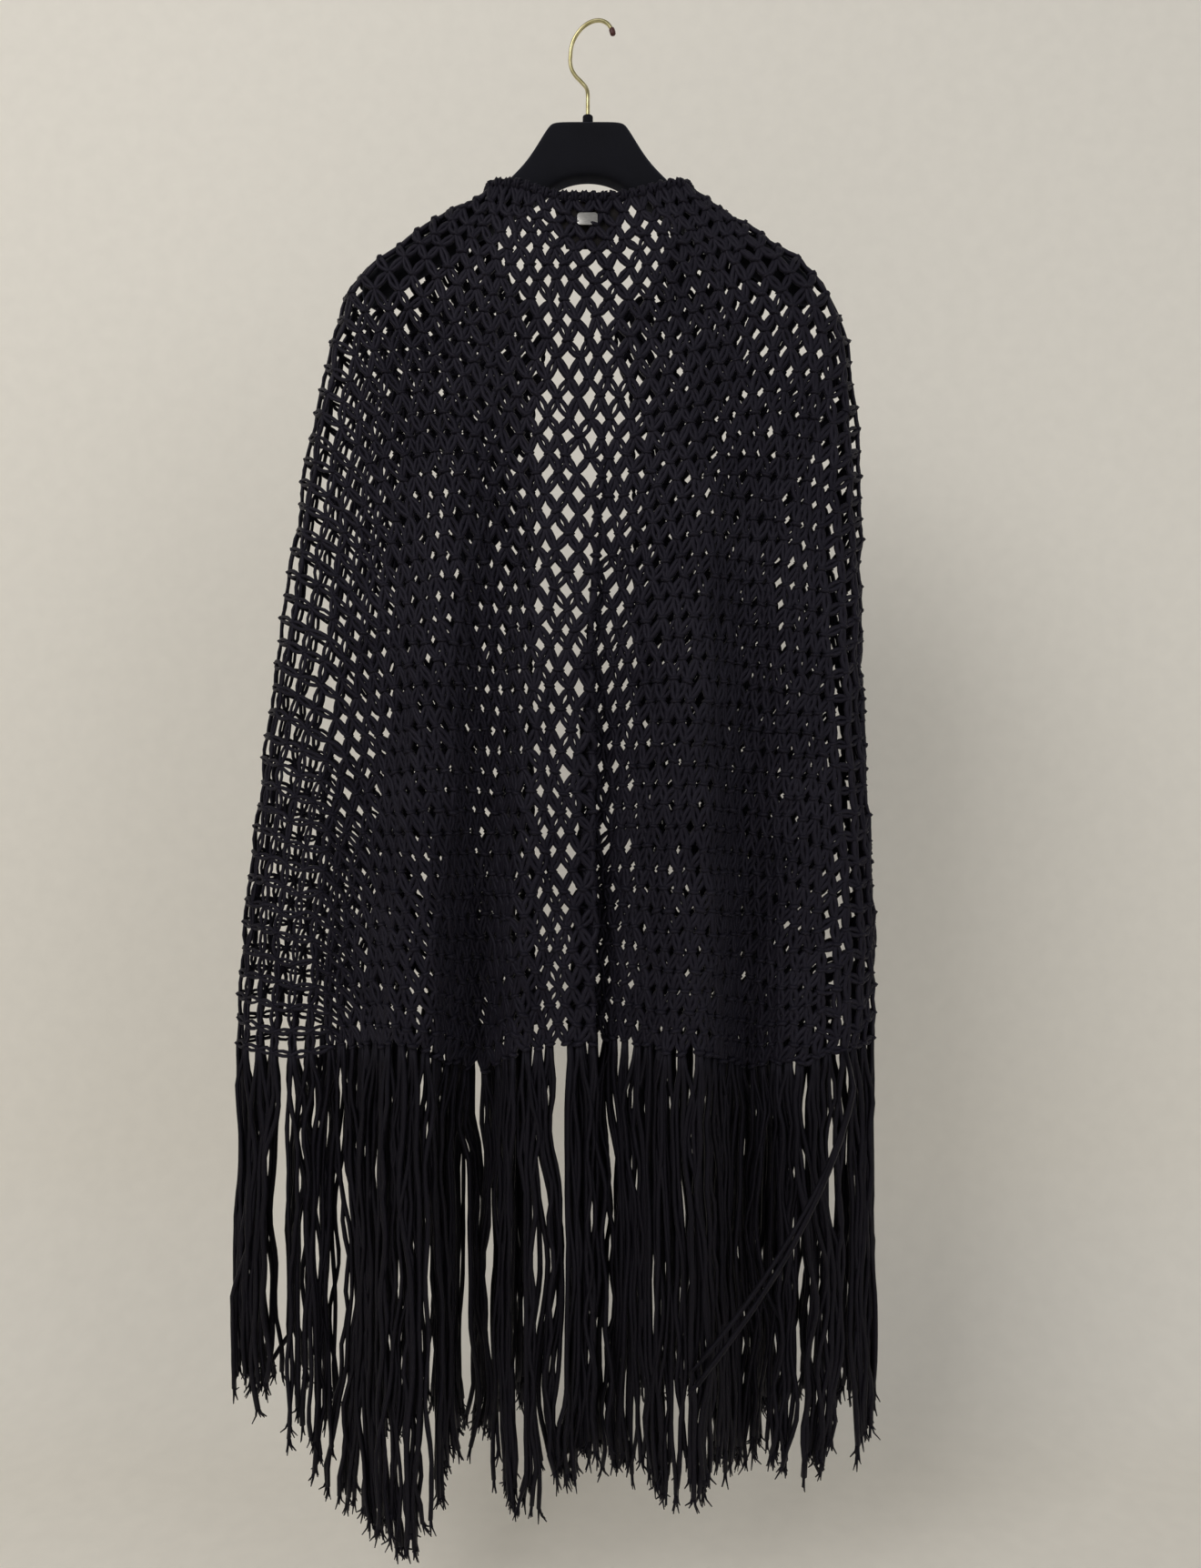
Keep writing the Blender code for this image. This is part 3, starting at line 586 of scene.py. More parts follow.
def onLine(at, places, line):
    return np.column_stack([np.interp(at, places, line[:, n]) for n in range(3)])


def twisted(line, strands, spread, pitch, reference):  # the strands of a rope, laid round a line
    lengths = running(line)
    at = np.linspace(0, lengths[-1], int(lengths[-1] / ropes["step"]) + 1)
    middle = onLine(at, lengths, line)
    along = unit(np.gradient(middle, axis=0))
    side = unit(np.cross(along, reference))
    up = np.cross(side, along)
    laid = []
    for n in range(strands):
        turn = (2 * np.pi * (at / pitch + n / strands))[:, None]
        laid.append((middle + (side * np.cos(turn) + up * np.sin(turn)) * spread, None))
    return laid


def fromBmesh(name, bm, look):
    mesh = bpy.data.meshes.new(name)
    bm.to_mesh(mesh)
    bm.free()
    mesh.materials.append(look)
    return linked(name, mesh)


def joined(name, parts, look):  # several pieces as one mesh
    bm = bmesh.new()
    for part in parts:
        bm.from_mesh(part.data)
        bpy.data.objects.remove(part)
    return fromBmesh(name, bm, look)


ropes = {
    "neckClear": 0.005,
    "neckStrand": 0.0021,
    "neckSpread": 0.0023,
    "neckPitch": 0.03,
    "hitchReach": 0.0046,
    "hitchRadius": 0.0019,
    "hitchGap": 0.0016,
    "hitchEnds": 0.004,  # how far from the rope's ends the first and last ones lie
    "hitchStep": 0.002,
    "hitchLean": 0.00025,
    "hitchUneven": 0.05,
    "hitchCorners": 10,
    "edgeClear": 0.003,
    "edgeStrand": 0.0014,
    "edgeSpread": 0.0013,
    "edgePitch": 0.017,
    "hitchEvery": 0.0095,
    "step": 0.0022,
    "samples": 257,
}


def besideRim(rim, inside, clear):  # points beside a rim of the cloth, square to it and away from the cloth
    along = unit(np.gradient(rim, axis=0))
    away = rim - inside
    away -= along * np.sum(away * along, axis=1, keepdims=True)
    return rim + unit(away) * clear


neckPlaces = np.linspace(0, lastFold, ropes["samples"])
neckLine = besideRim(clothPoint(neckPlaces, 0.0), clothPoint(neckPlaces, 0.012), ropes["neckClear"])
edgeDowns = np.linspace(0, 1, ropes["samples"])
edgeLines = {
    side: besideRim(clothPoint(rim, edgeDowns), clothPoint(inside, edgeDowns), ropes["edgeClear"])
    for side, rim, inside in (("left", 0.0, 0.1), ("right", lastFold, lastFold - 0.1))
}


def knotShifts():  # knots sit a little unevenly, and those of the rims lie on their ropes
    shift = draw.normal(0, 1, (len(rows), 3)).clip(-2, 2) * net["looseness"] * np.array([1.0, 0.6, 1.0])
    shift[atNeck] = onLine(around[atNeck], neckPlaces, neckLine) - knotPoints[atNeck]
    for side, mask in (("left", atEdge & (columns < 0)), ("right", atEdge & (columns > 0))):
        edge = onLine(down[mask], edgeDowns, edgeLines[side])
        shift[mask] = shift[mask] * net["edgeLooseness"] + edge - knotPoints[mask]
    return shift


knotShift = knotShifts()
knotPlace = knotPoints + knotShift


def netLines():  # runs of knots along both ways of the net, as lists of knot numbers
    where = {(c, r): k for k, (c, r) in enumerate(zip(columns, rows))}
    lines = []
    for slant in (1, -1):
        for (c, r), k in where.items():
            if (c - slant, r - 1) in where:
                continue
            line = [k]
            while (c + slant, r + 1) in where:
                c, r = c + slant, r + 1
                line.append(where[(c, r)])
            if len(line) > 1:
                lines.append((slant, line))
    return lines


def cordPair(line, slant, first, steps):  # the two cords of a run that starts at knot first of its line
    u = np.arange((len(line) - 1) * steps + 1) / steps
    leg = np.minimum(u.astype(int), len(line) - 2)
    t = u - leg
    here, ahead = line[leg], line[leg + 1]
    a, d = between(around[here], around[ahead], t), between(down[here], down[ahead], t)
    base = clothPoint(a, d)
    shift = between(knotShift[here], knotShift[ahead], t[:, None])
    out = clothOut(a, d)
    aside = unit(np.cross(out, np.gradient(base, axis=0)))
    bow = between(*cords["bow"], ease(d / cords["bowTo"]))
    swell, pace = cords["swell"]
    pair = []
    for cord in (1, -1):
        uneven = 1 + cords["bowUneven"] * draw.normal(0, 1, len(line) - 1).clip(-2, 2)
        lift = draw.normal(0, cords["lift"], len(line) - 1)
        crossing = np.cos(np.pi * t) ** 2
        height = slant * cords["layer"] * (0.6 + 0.4 * cord) * crossing + lift[leg] * (1 - crossing)
        bowed = cord * bow * np.sin(np.pi * (u + first)) * uneven[leg]
        radii = 1 + cords["thicker"] * draw.normal(0, 1) + swell * np.sin(u * pace + draw.uniform(0, 6))
        radii = radii * np.interp(base[:, 0], *cords["fuller"])
        pair.append((base + shift + aside * bowed[:, None] + out * height[:, None], radii))
    return pair


def cordRuns():  # the cords of every line of the net, cut where a stretch of it ends
    cuts = [stretch[1] for stretch in cords["stretches"][1:]]
    runs = {stretch[0]: [] for stretch in cords["stretches"]}
    for slant, line in netLines():
        line = np.array(line)
        legStretch = np.searchsorted(cuts, (around[line[:-1]] + around[line[1:]]) / 2)
        start = 0
        for n in range(1, len(line)):
            if n == len(line) - 1 or legStretch[n] != legStretch[start]:
                name, first, last, steps, nodes = cords["stretches"][legStretch[start]]
                runs[name] += cordPair(line[start : n + 1], slant, start, steps)
                start = n
    return runs


def makeNet():
    runs = cordRuns()
    pieces = {}
    for name, first, last, steps, nodes in cords["stretches"]:
        pieces[name] = placed(curvePiece(name, runs[name], cords["radius"], silkNet), "silk_cord", *nodes)
        print(name, "runs:", len(runs[name]), "faces:", len(pieces[name].data.polygons))
    return pieces


netPieces = makeNet()


# Knots: a short loop of cord wrapped level round each crossing

knots = {
    "radius": 0.002,
    "wide": 0.0036,
    "deep": 0.0032,
    "corners": {3: 5, 4: 7},  # by the steps of the legs beside them
    "uneven": 0.1,
    "tilt": 0.25,
}


def knotLoops(chosen, corners):
    a, d = around[chosen], down[chosen]
    out = clothOut(a, d)
    up = np.tile([0.0, 0.0, 1.0], (len(a), 1))
    across = unit(np.cross(up, out))
    lean = draw.normal(0, knots["tilt"], len(a))[:, None]
    across = unit(across + unit(np.cross(out, across)) * lean)
    size = 1 + knots["uneven"] * draw.normal(0, 1, len(a))
    size *= np.interp(knotPlace[chosen, 0], *cords["fuller"])
    turns = 2 * np.pi * np.arange(corners) / corners
    return [
        (
            knotPlace[k]
            + across[n] * (knots["wide"] * size[n] * np.cos(turns))[:, None]
            + out[n] * (knots["deep"] * size[n] * np.sin(turns))[:, None],
            np.full(corners, size[n]),
        )
        for n, k in enumerate(chosen)
    ]


def makeKnots():
    for name, first, last, steps, nodes in cords["stretches"]:
        chosen = np.flatnonzero(within(first, last) & ~atNeck & ~atEdge)
        loops = knotLoops(chosen, knots["corners"][steps])
        piece = curvePiece(name.replace("net", "knots"), loops, knots["radius"], silkNet, 0, True)
        netPieces[name + " knots"] = placed(piece, "silk_cord")
        print(piece.name, len(chosen))


makeKnots()


# Fringe: the cords' loose ends, four or five from each knot of the hem, in locks with partings between them,
# and with frayed tips

fringe = {
    "radius": 0.0024,
    "perKnot": 4,
    "middle": 0.085,  # one strand more for each knot so near to the middle of the back
    "steps": 25,
    "lock": (2, 5),  # knots whose ends hang together
    "gather": 0.42,  # how near the strands of a lock come to its middle
    "gathersBy": 0.45,  # share of a strand's length at which they are there
    "opensBy": 0.14,  # and at which its waves are at their full size
    "lockSway": 0.0055,
    "sway": 0.0034,
    "crimp": (0.0004, 0.003),  # least and most size of a strand's small waves
    "crimpLength": (0.06, 0.12),
    "uneven": (0.006, 0.011),  # of a lock's length and of a strand's
    "mostUneven": 0.018,
    "lowest": -1.484,
    "partings": (  # place across, half width, and where along the strands it opens and closes
        (-0.305, 0.004, 0.2, 0.85),
        (-0.281, 0.005, 0.35, 1.1),
        (-0.122, 0.007, 0.12, 0.92),
        (-0.058, 0.0035, 0.2, 0.95),
        (-0.021, 0.0046, -0.1, 0.85),
        (0.062, 0.0045, 0.0, 0.7),
        (0.1, 0.003, 0.3, 0.7),
        (0.177, 0.0065, 0.05, 0.55),
        (0.233, 0.0035, 0.1, 0.4),
    ),
    "partingEase": 0.12,
    "edges": (-0.349, 0.2835),
    "spread": (0.004, 0.012),
    "slip": 0.1,
    "drift": 0.004,
    "depth": 0.0035,
    "mostDepth": 0.0945,
    "crossing": 0.04,
    "crossingReach": (0.02, 0.05),
    "stray": {  # strands that slant across the right side
        "from": 0.25,
        "to": 0.102,
        "low": -1.322,
        "count": 2,
        "bend": 1.6,
        "outBy": 0.08,
        "sway": 0.0008,
        "apart": (0.004, 0.0005, 0.022),  # across, out and up, from one to the next
    },
    "thicker": (0.1, 0.06),  # how uneven the strands are, and each along its length
    "hairs": 4,
    "hairLength": (0.009, 0.017),
    "hairRadius": 0.0009,
    "hairSpread": 0.34,
    "hairTaper": (1.7, 1.1, 0.6),
    "hairRoot": 0.003,
    "ends": np.array([  # millimetres: place across, lowest point in front and at the back
        (-352, -1358, -1360), (-290, -1370, -1382), (-262, -1388, -1405), (-245, -1412, -1457),
        (-200, -1436, -1466), (-155, -1436, -1461), (-135, -1415, -1425), (-112, -1410, -1405),
        (-60, -1420, -1415), (0, -1405, -1400), (30, -1415, -1412), (60, -1410, -1414),
        (120, -1408, -1413), (200, -1412, -1422), (250, -1405, -1412), (290, -1368, -1372),
    ]) / 1000,
    "stretches": [  # piece, first and last fold line, column of the ends' table
        ("fringe_front_left", 0, 12, 1),
        ("fringe_back", 12, 35, 2),
        ("fringe_front_right", 35, 44, 1),
    ],
}


def hemSides(k):  # level directions along the hem and out of it at a knot
    before, after = clothPoint(np.clip([around[k] - 0.15, around[k] + 0.15], 0, lastFold), 1.0)
    along = unit((after - before) * np.array([1.0, 1.0, 0.0]))
    return along, np.array([along[1], -along[0], 0.0])


def waves(size, count, t):
    return sum(
        size * draw.normal(0, 1) / (m + 0.5) ** 0.8 * np.sin(np.pi * (m + 0.5) * t + draw.uniform(0, 6.3))
        for m in range(1, count)
    )


def strandLine(root, along, out, n, end, aside, shared):  # aside: the way to the middle of the lock
    t = np.linspace(0, 1, fringe["steps"] + 1)
    opened = ease(t / fringe["opensBy"])
    size, length = draw.uniform(*fringe["crimp"]), draw.uniform(*fringe["crimpLength"])
    crimp = size * np.sin(2 * np.pi * t * (root[2] - end) / length + draw.uniform(0, 6.3) + waves(0.5, 3, t))
    slot = (n + 0.5) / fringe["perKnot"] - 0.5 + draw.normal(0, fringe["slip"])
    side = slot * (fringe["spread"][0] + fringe["spread"][1] * opened)
    side = side + aside * fringe["gather"] * ease(t / fringe["gathersBy"])
    drift = draw.normal(0, fringe["drift"])
    if draw.uniform() < fringe["crossing"]:
        drift = draw.choice((-1, 1)) * draw.uniform(*fringe["crossingReach"])
    side = side + drift * t + (shared[0] + waves(fringe["sway"], 7, t) + crimp) * opened
    depth = (draw.normal(0, fringe["depth"]) + shared[1] + waves(0.6 * fringe["sway"], 4, t)) * opened
    line = root + np.outer(side, along) + np.outer(depth, out)
    line[:, 2] = between(root[2], end, t)
    for place, half, begins, closes in fringe["partings"]:
        side = 1 if root[0] > place else -1
        beside = (line[:, 0] - place) * side
        opened = ease((t - begins) / fringe["partingEase"]) * (1 - ease((t - closes) / fringe["partingEase"]))
        beside += opened * ((beside + np.sqrt(beside**2 + (2 * half * opened) ** 2)) / 2 - beside)
        line[:, 0] = place + side * beside
    line[:, 0] = line[:, 0].clip(*fringe["edges"])
    line[:, 1] = line[:, 1].clip(-fringe["mostDepth"], fringe["mostDepth"])
    return line


def frayedHairs(line):  # short hairs that splay from a strand's tip
    tip, course = line[-1], unit(line[-1] - line[-3])
    hairs = []
    for n in range(fringe["hairs"]):
        splay = unit(course + draw.normal(0, fringe["hairSpread"], 3))
        length = draw.uniform(*fringe["hairLength"])
        middle = tip + (course * 0.4 + splay * 0.6) * length * 0.5
        hair = np.array([tip - course * fringe["hairRoot"], middle, middle + splay * length * 0.5])
        hair[:, 1] = hair[:, 1].clip(-fringe["mostDepth"], fringe["mostDepth"])
        hairs.append((hair, fringe["hairTaper"]))
    return hairs


def lockStrands(lock, column):  # the strands of the knots of one lock
    t = np.linspace(0, 1, fringe["steps"] + 1)
    middle = knotPlace[lock].mean(axis=0)
    shared = waves(fringe["lockSway"], 4, t), waves(0.4 * fringe["lockSway"], 3, t)
    longer = draw.normal(0, fringe["uneven"][0])
    lines = []
    for k in lock:
        root = knotPlace[k]
        along, out = hemSides(k)
        aside = np.dot(middle - root, along)
        low = np.interp(root[0], fringe["ends"][:, 0], fringe["ends"][:, column])
        for n in range(fringe["perKnot"] + (column == 2 and abs(root[0]) < fringe["middle"])):
            uneven = np.clip(draw.normal(0, fringe["uneven"][1]), -fringe["mostUneven"], fringe["mostUneven"])
            end = max(low + longer + uneven, fringe["lowest"])
            lines.append(strandLine(root, along, out, n, end, aside, shared))
    return lines


def strayStrand(line, n):  # a strand that slants across its neighbours
    stray = fringe["stray"]
    across, out, up = (gap * n for gap in stray["apart"])
    t = np.linspace(0, 1, fringe["steps"] + 1)
    line = line.copy()
    bent = t ** stray["bend"]
    line[:, 0] = between(line[0, 0], stray["to"] + across, bent) + waves(stray["sway"], 5, t) * t
    line[:, 1] = between(line[0, 1], out - fringe["mostDepth"], ease(t / stray["outBy"]))
    line[:, 2] = between(line[0, 2], stray["low"] + up, t)
    return line


def makeFringe():
    hemKnots = np.flatnonzero(atHem)
    hemKnots = hemKnots[np.argsort(around[hemKnots])]
    pieces = {}
    for name, first, last, column in fringe["stretches"]:
        chosen = hemKnots[within(first, last)[hemKnots]]
        lines = []
        start = 0
        while start < len(chosen):
            size = int(draw.integers(*fringe["lock"]))
            lines += lockStrands(chosen[start : start + size], column)
            start += size
        if name == "fringe_back":
            away = [abs(line[0, 0] - fringe["stray"]["from"]) + line[0, 1] for line in lines]
            for n, near in enumerate(np.argsort(away, kind="stable")[: fringe["stray"]["count"]]):
                lines[near] = strayStrand(lines[near], n)
        strand, along = fringe["thicker"]
        strands = []
        for line in lines:
            radii = (1 + strand * draw.normal(0, 1)) * (1 + along * draw.normal(0, 1, len(line)))
            strands.append((line, radii))
        hairs = [hair for line in lines for hair in frayedHairs(line)]
        piece = curvePiece(name + "_strands", strands, fringe["radius"], silkFringe)
        tips = curvePiece(name + "_tips", hairs, fringe["hairRadius"], silkFringe, 0)
        pieces[name] = [placed(piece, "fringe_silk", name), placed(tips, "fringe_silk")]
        print(piece.name, "strands:", len(strands))
    return pieces


fringePieces = makeFringe()


# The rope round the neck with the net's cords hitched over it, and the thin twisted cords of the front edges

def makeRopes():
    neck = twisted(neckLine, 3, ropes["neckSpread"], ropes["neckPitch"], (0.0, 0.0, 1.0))
    core = curvePiece("neck_rope_strands", neck, ropes["neckStrand"], silkRope, 2)
    lengths = running(neckLine)
    count = int(lengths[-1] / ropes["hitchEvery"])
    turns = (2 * np.pi * np.arange(ropes["hitchCorners"]) / ropes["hitchCorners"])[:, None]
    hitches = []
    for place in np.linspace(ropes["hitchEnds"], lengths[-1] - ropes["hitchEnds"], count):
        for shift in (-ropes["hitchGap"], ropes["hitchGap"]):
            here, ahead = onLine(place + shift + np.array([0, ropes["hitchStep"]]), lengths, neckLine)
            along = unit(ahead - here + draw.normal(0, ropes["hitchLean"], 3))
            side = unit(np.cross(along, (0.0, 0.0, 1.0)))
            up = np.cross(side, along)
            reach = ropes["hitchReach"] * (1 + ropes["hitchUneven"] * draw.normal(0, 1))
            hitches.append((here + (side * np.cos(turns) + up * np.sin(turns)) * reach, None))
    hitched = curvePiece("neck_rope_hitches", hitches, ropes["hitchRadius"], silkRope, 0, True)
    placed(joined("neck_rope", [core, hitched], silkRope), "rolled_cord", "neck_cord")
    for side, line in edgeLines.items():
        laid = twisted(line, 2, ropes["edgeSpread"], ropes["edgePitch"], (0.0, 1.0, 0.0))
        edge = curvePiece("front_edge_" + side, laid, ropes["edgeStrand"], silkRope, 0)
        placed(edge, "rolled_cord", "edge_cord_" + side)


makeRopes()


# The patch inside the back of the neck, ribbed across its slant, and its plain plate

patch = {
    "top": -0.19,
    "bottom": -0.24,
    "halfTop": 0.035,
    "halfBottom": 0.021,
    "thick": 0.0012,
    "clear": 0.0021,  # from the cloth's middle to the patch's back
    "grid": (72, 52),
    "ribPitch": 0.0042,
    "ribHigh": 0.00055,
    "ribSlant": 0.45,
    "ribWander": (0.6, 90),
    "waver": (0.001, 38),
}
plate = {
    "size": (0.02, 0.0012, 0.013),
    "corner": 0.003,
    "rim": 0.0003,
    "z": -0.212,
    "clear": 0.0045,  # from the cloth's middle to the plate's middle
}


def meshPiece(name, bm, look, slot, *nodes):
    bmesh.ops.recalc_face_normals(bm, faces=bm.faces)
    piece = fromBmesh(name, bm, look)
    piece.data.shade_smooth()
    return placed(piece, slot, *nodes)


def vertsOf(made):
    return [v for v in made["geom"] if isinstance(v, bmesh.types.BMVert)]


def flatEdges(bm, axis):  # edges that are level along an axis
    return [e for e in bm.edges if abs(e.verts[0].co[axis] - e.verts[1].co[axis]) < 1e-6]


def rounded(bm, edges, offset, segments):
    bmesh.ops.bevel(bm, geom=edges, offset=offset, offset_type="OFFSET", segments=segments, profile=0.5,
                    affect="EDGES", material=-1)


def makePatch():
    bm = bmesh.new()
    bmesh.ops.create_grid(bm, x_segments=patch["grid"][0], y_segments=patch["grid"][1], size=1.0)
    for v in vertsOf(bmesh.ops.extrude_face_region(bm, geom=bm.faces[:], use_keep_orig=True)):
        v.co.z = -1.0
    wander, waver = patch["ribWander"], patch["waver"]
    for v in bm.verts:
        low = (1 - v.co.y) / 2
        z = between(patch["top"], patch["bottom"], low)
        x = v.co.x * between(patch["halfTop"], patch["halfBottom"], low)
        face = patch["clear"] - float(byHeight(cape["levels"], 3, np.array(z)))
        slant = (z + patch["ribSlant"] * abs(x)) / patch["ribPitch"]
        rib = patch["ribHigh"] * abs(math.sin(math.pi * slant + wander[0] * math.sin(wander[1] * x)))
        face += waver[0] * math.sin(waver[1] * x + 1.0) * low
        v.co = Vector((x, face - v.co.z * (patch["thick"] + rib), z))
    return meshPiece("neck_patch", bm, patchCloth, "label_cloth", "label_patch")


def makePlate():
    bm = bmesh.new()
    bmesh.ops.create_cube(bm, size=1.0)
    bmesh.ops.scale(bm, vec=plate["size"], verts=bm.verts)
    corners = [e for e in bm.edges if abs(e.verts[0].co.y - e.verts[1].co.y) > plate["size"][1] / 2]
    rounded(bm, corners, plate["corner"], 8)
    rounded(bm, flatEdges(bm, 1), plate["rim"], 3)
    half = plate["size"][2] / 2
    low, middle, high = byHeight(cape["levels"], 3, plate["z"] + np.array([-half, 0.0, half]))
    tilt = Matrix.Rotation(-math.atan((low - high) / (2 * half)), 4, "X")
    turned = Matrix.Translation((0.0, -middle - plate["clear"], plate["z"])) @ tilt
    bmesh.ops.transform(bm, matrix=turned, verts=bm.verts)
    return meshPiece("plain_plate", bm, plateMetal, "plate_metal", "name_plate")


patchPiece = makePatch()
makePlate()


# Hanger: a velvet body lofted through its stations, a collar, a brass hook and its cap

hanger = {
    # from the middle out: x, top, bottom, half depth, squareness; no top: under the shoulder
    "stations": [
        (0.0, -0.103, -0.158, 0.0135, 5.0), (0.013, -0.103, -0.1592, 0.0135, 5.0),
        (0.0255, -0.103, -0.1632, 0.0137, 5.0), (0.035, -0.1035, -0.169, 0.0139, 4.5),
        (0.04, -0.1075, -0.174, 0.014, 4.0), (0.0548, -0.133, -0.184, 0.0144, 3.5),
        (0.0667, -0.148, -0.192, 0.0148, 3.0), (0.084, -0.1645, -0.203, 0.0155, 2.7),
        (0.098, -0.179, -0.211, 0.0162, 2.5), (0.12, None, -0.224, 0.0175, 2.4),
        (0.15, None, -0.243, 0.0195, 2.4), (0.18, None, -0.261, 0.0215, 2.4),
        (0.202, None, -0.275, 0.022, 2.4), (0.214, None, -0.282, 0.0205, 2.2),
        (0.222, -0.2599, -0.284, 0.017, 2.1), (0.2265, -0.267, -0.281, 0.0095, 2.0),
    ],
    "sides": 20,
    "underShoulder": 0.0041,
    "collarRadius": 0.0052,
    "collarTop": -0.0935,
    "collarBottom": -0.1027,
    "collarRim": 0.0012,
}
hook = {
    "wire": 0.002,
    "radius": 0.025,
    "turn": math.radians(30),
    "centreX": 0.004,
    "tip": math.radians(24),
    # from the round to the shank, inward and down
    "bend": [(-0.0005, 0.007), (0.001, 0.015), (0.0055, 0.0235), (0.0125, 0.032), (0.0185, 0.04)],
    "shank": (-0.072, -0.08, -0.0932),
    "step": 0.0012,
    "capRadius": 0.0029,
    "capLength": 0.007,
    "capShape": (  # share of the cap's length, and of its radius
        (-0.02, 0.72), (0.0, 0.88), (0.06, 0.97), (0.15, 1.0),
        (0.5, 1.0), (0.8, 0.97), (0.9, 0.84), (0.96, 0.6), (1.0, 0.2),
    ),
}


def shoulderLine(x):  # height of the cloth over the shoulder, the lower of both sides
    heights = np.linspace(cape["neckZ"], cape["shoulderZ"], 41)
    left, right = -byHeight(cape["levels"], 1, heights), byHeight(cape["levels"], 2, heights)
    return min(np.interp(x, left, heights), np.interp(x, right, heights))


def makeHanger():
    rowsOut = [(x, shoulderLine(x) - hanger["underShoulder"] if top is None else top, *rest)
               for x, top, *rest in hanger["stations"]]
    stations = np.array([(-x, *rest) for x, *rest in reversed(rowsOut[1:])] + rowsOut)
    bm = bmesh.new()
    bmesh.ops.create_grid(bm, x_segments=len(stations) - 1, y_segments=hanger["sides"], size=1.0)
    for v in bm.verts:
        x, top, bottom, half, square = stations[round((v.co.x + 1) / 2 * (len(stations) - 1))]
        turn = math.pi * (v.co.y + 1 + 1 / hanger["sides"])
        across = math.copysign(abs(math.cos(turn)) ** (2 / square), math.cos(turn))
        up = math.copysign(abs(math.sin(turn)) ** (2 / square), math.sin(turn))
        v.co = Vector((x, half * across, (top + bottom) / 2 + (top - bottom) / 2 * up))
    bmesh.ops.remove_doubles(bm, verts=bm.verts, dist=1e-5)
    bmesh.ops.holes_fill(bm, edges=bm.edges, sides=0)
    body = meshPiece("hanger", bm, velvet, "hanger_velvet", "hanger_body")
    smooth = body.modifiers.new("soft edges", "SUBSURF")
    smooth.levels = smooth.render_levels = 2
    bm = bmesh.new()
    tall = hanger["collarTop"] - hanger["collarBottom"]
    bmesh.ops.create_cone(bm, cap_ends=True, segments=32, radius1=hanger["collarRadius"],
                          radius2=hanger["collarRadius"], depth=tall)
    rounded(bm, flatEdges(bm, 2), hanger["collarRim"], 4)
    bmesh.ops.translate(bm, vec=(0, 0, (hanger["collarTop"] + hanger["collarBottom"]) / 2), verts=bm.verts)
    meshPiece("collar", bm, velvet, "hanger_velvet", "hook_collar")


def smoothLine(points, step):  # a smooth curve through points, as points a step apart
    points = np.asarray(points, float)
    at = running(points)
    slopes = np.gradient(points, at, axis=0)
    places = np.linspace(0, at[-1], int(at[-1] / step) + 1)
    i = np.clip(np.searchsorted(at, places) - 1, 0, len(at) - 2)
    span = (at[i + 1] - at[i])[:, None]
    t = (places - at[i])[:, None] / span
    return hermite(t, points[i], points[i + 1], slopes[i] * span, slopes[i + 1] * span)


def hookArc(angles):  # points of the hook's round top, its open end turned to the cape's back
    out = hook["radius"] * np.cos(angles)
    z = hook["wire"] - hook["radius"] + hook["radius"] * np.sin(angles)
    return np.column_stack([hook["centreX"] + out * math.cos(hook["turn"]), -out * math.sin(hook["turn"]), z])


def makeHook():
    top = hookArc(np.linspace(hook["tip"], math.pi, 17))
    inward = np.array([math.cos(hook["turn"]), -math.sin(hook["turn"]), 0.0])
    bend = [top[-1] + inward * step - np.array([0, 0, fall]) for step, fall in hook["bend"]]
    shank = [(0.0, 0.0, z) for z in hook["shank"]]
    line = smoothLine([*top, *bend, *shank], hook["step"])
    placed(curvePiece("hook", [(line, None)], hook["wire"], brass, 6), "hook_brass", "hook_wire")
    share, radii = np.array(hook["capShape"]).T
    tip = hookArc(hook["tip"] - share * hook["capLength"] / hook["radius"])
    placed(curvePiece("hook_cap", [(tip, radii)], hook["capRadius"], capRubber, 6), "tip_rubber", "hook_tip")


makeHanger()
makeHook()
print("hanger made")


# Stage and light

stage = {
    "floorZ": -1.62,
    "wallY": 0.55,
    "reach": 6.0,
    "round": 0.3,
    "above": 4.0,
    "colour": (0.88, 0.845, 0.775),
    "air": (1.0, 0.99, 0.97, 1.0),
    "airPower": 0.29,
    "aim": (0.0, 0.0, -0.75),
    "lamps": [  # name, place, size, power, colour
        ("key", (-1.6, -2.4, 1.0), (1.6, 1.6), 44, (1.0, 0.98, 0.95)),
        ("fill", (2.2, -2.2, 0.2), (1.8, 2.2), 17, (0.95, 0.97, 1.0)),
    ],
}


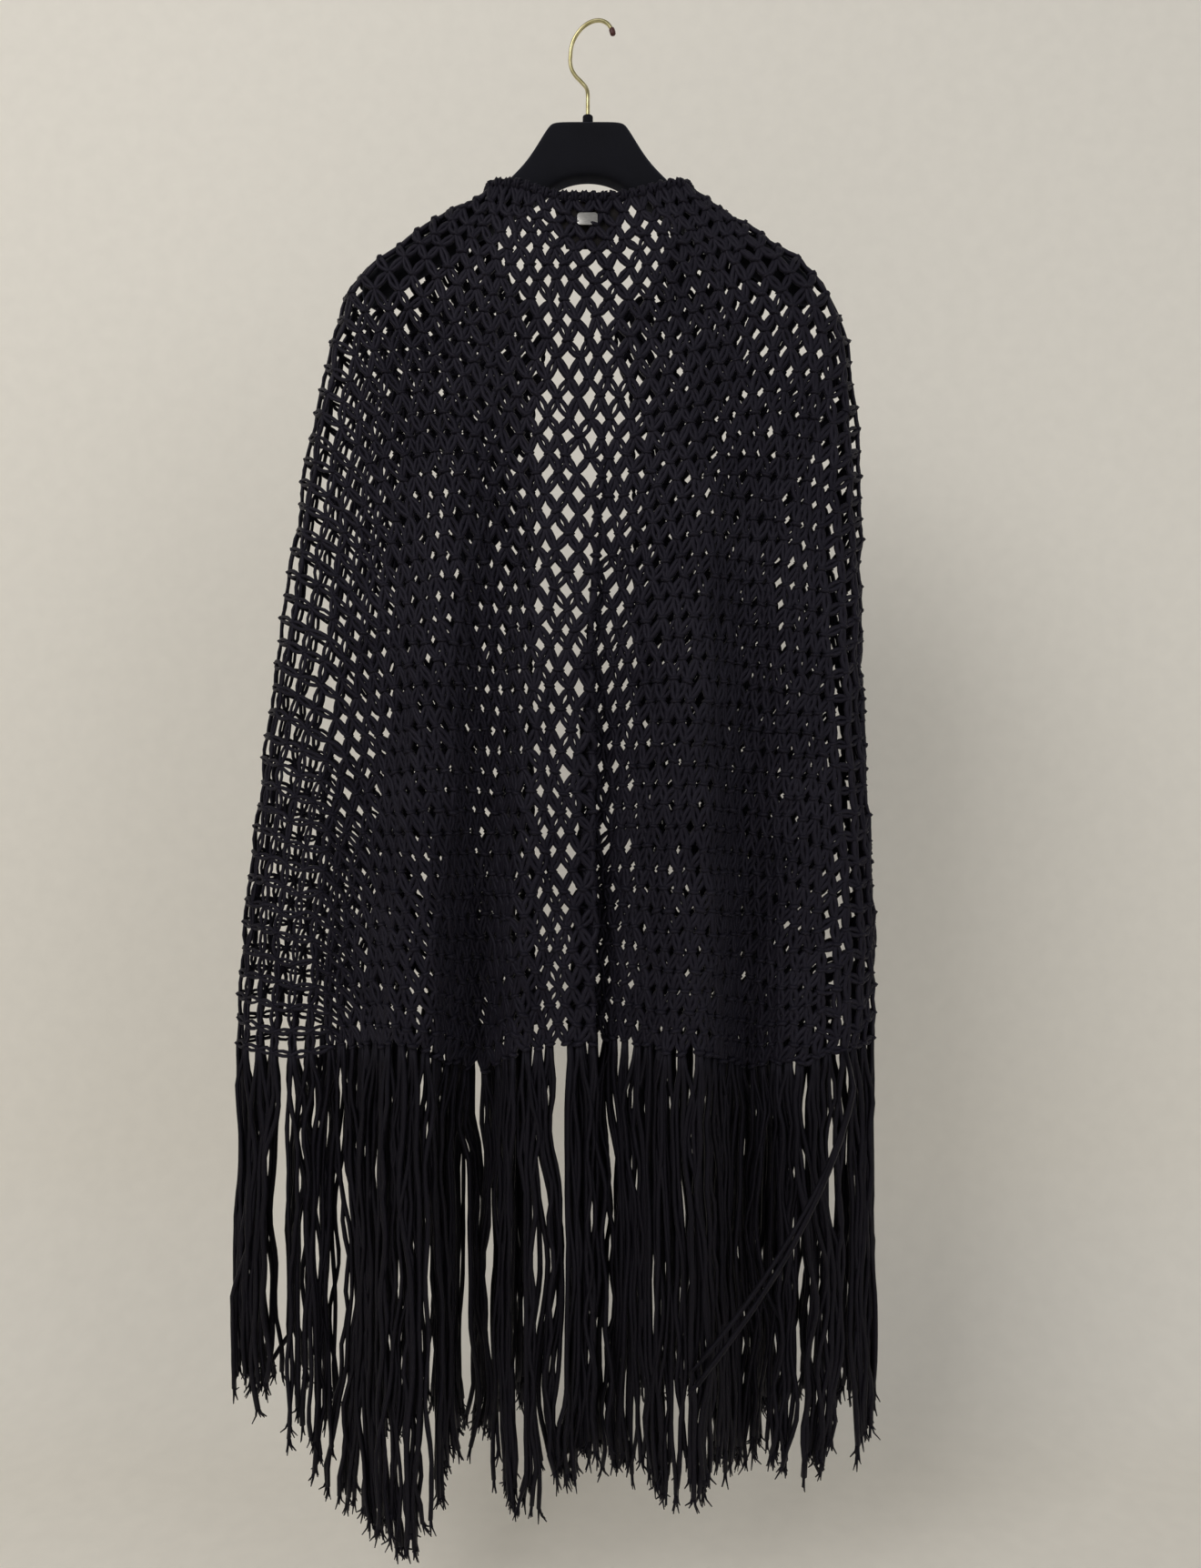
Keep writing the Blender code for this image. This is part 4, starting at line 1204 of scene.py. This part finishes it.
def makeStage():
    reach, bend = stage["reach"], stage["round"]
    bm = bmesh.new()
    edge = bm.edges.new([bm.verts.new((x, -reach, stage["floorZ"])) for x in (-reach, reach)])
    moved = vertsOf(bmesh.ops.extrude_edge_only(bm, edges=[edge]))
    bmesh.ops.translate(bm, vec=(0, reach + stage["wallY"] - bend, 0), verts=moved)
    last = [e for e in bm.edges if all(v in moved for v in e.verts)]
    bmesh.ops.spin(bm, geom=last, cent=(0, stage["wallY"] - bend, stage["floorZ"] + bend), axis=(1, 0, 0),
                   angle=math.pi / 2, steps=12)
    top = [e for e in bm.edges if all(v.co.y > stage["wallY"] - 1e-4 for v in e.verts)]
    raised = vertsOf(bmesh.ops.extrude_edge_only(bm, edges=top))
    bmesh.ops.translate(bm, vec=(0, 0, stage["above"]), verts=raised)
    bm.normal_update()
    bmesh.ops.reverse_faces(bm, faces=[f for f in bm.faces if f.normal.z < f.normal.y])  # all face the cape
    backdrop = fromBmesh("backdrop", bm, wallPaint("backdrop paint", stage["colour"]))
    backdrop.data.shade_smooth()


def makeLight():
    world = bpy.data.worlds.new("studio air")
    scene.world = world
    world.use_nodes = True
    world.node_tree.nodes["Background"].inputs["Color"].default_value = stage["air"]
    world.node_tree.nodes["Background"].inputs["Strength"].default_value = stage["airPower"]
    for name, place, size, power, colour in stage["lamps"]:
        light = bpy.data.lights.new(name, "AREA")
        light.shape = "RECTANGLE"
        light.size, light.size_y = size
        light.energy = power
        light.color = colour
        lamp = linked(name, light)
        lamp.location = place
        lamp.rotation_euler = (Vector(stage["aim"]) - Vector(place)).to_track_quat("-Z", "Y").to_euler()


makeStage()
makeLight()


# The flat area of each stretch of the net, with the size that it was cut to

cut = {
    "squareLeg": 0.0225,  # a leg of the net as it is laid out in squares
    "depth": 0.7,
    "roomy": 1.05,  # a piece's flat box against its area
    "fringes": {
        "net_left_front": "fringe_front_left",
        "net_left_back": "fringe_back",
        "net_right_front": "fringe_front_right",
    },
}


def declareCloth():
    for name, first, last, steps, nodes in cords["stretches"]:
        area = np.sum(within(first, last)) * cut["squareLeg"] ** 2
        print(name, "flat area", round(area, 3))


declareCloth()
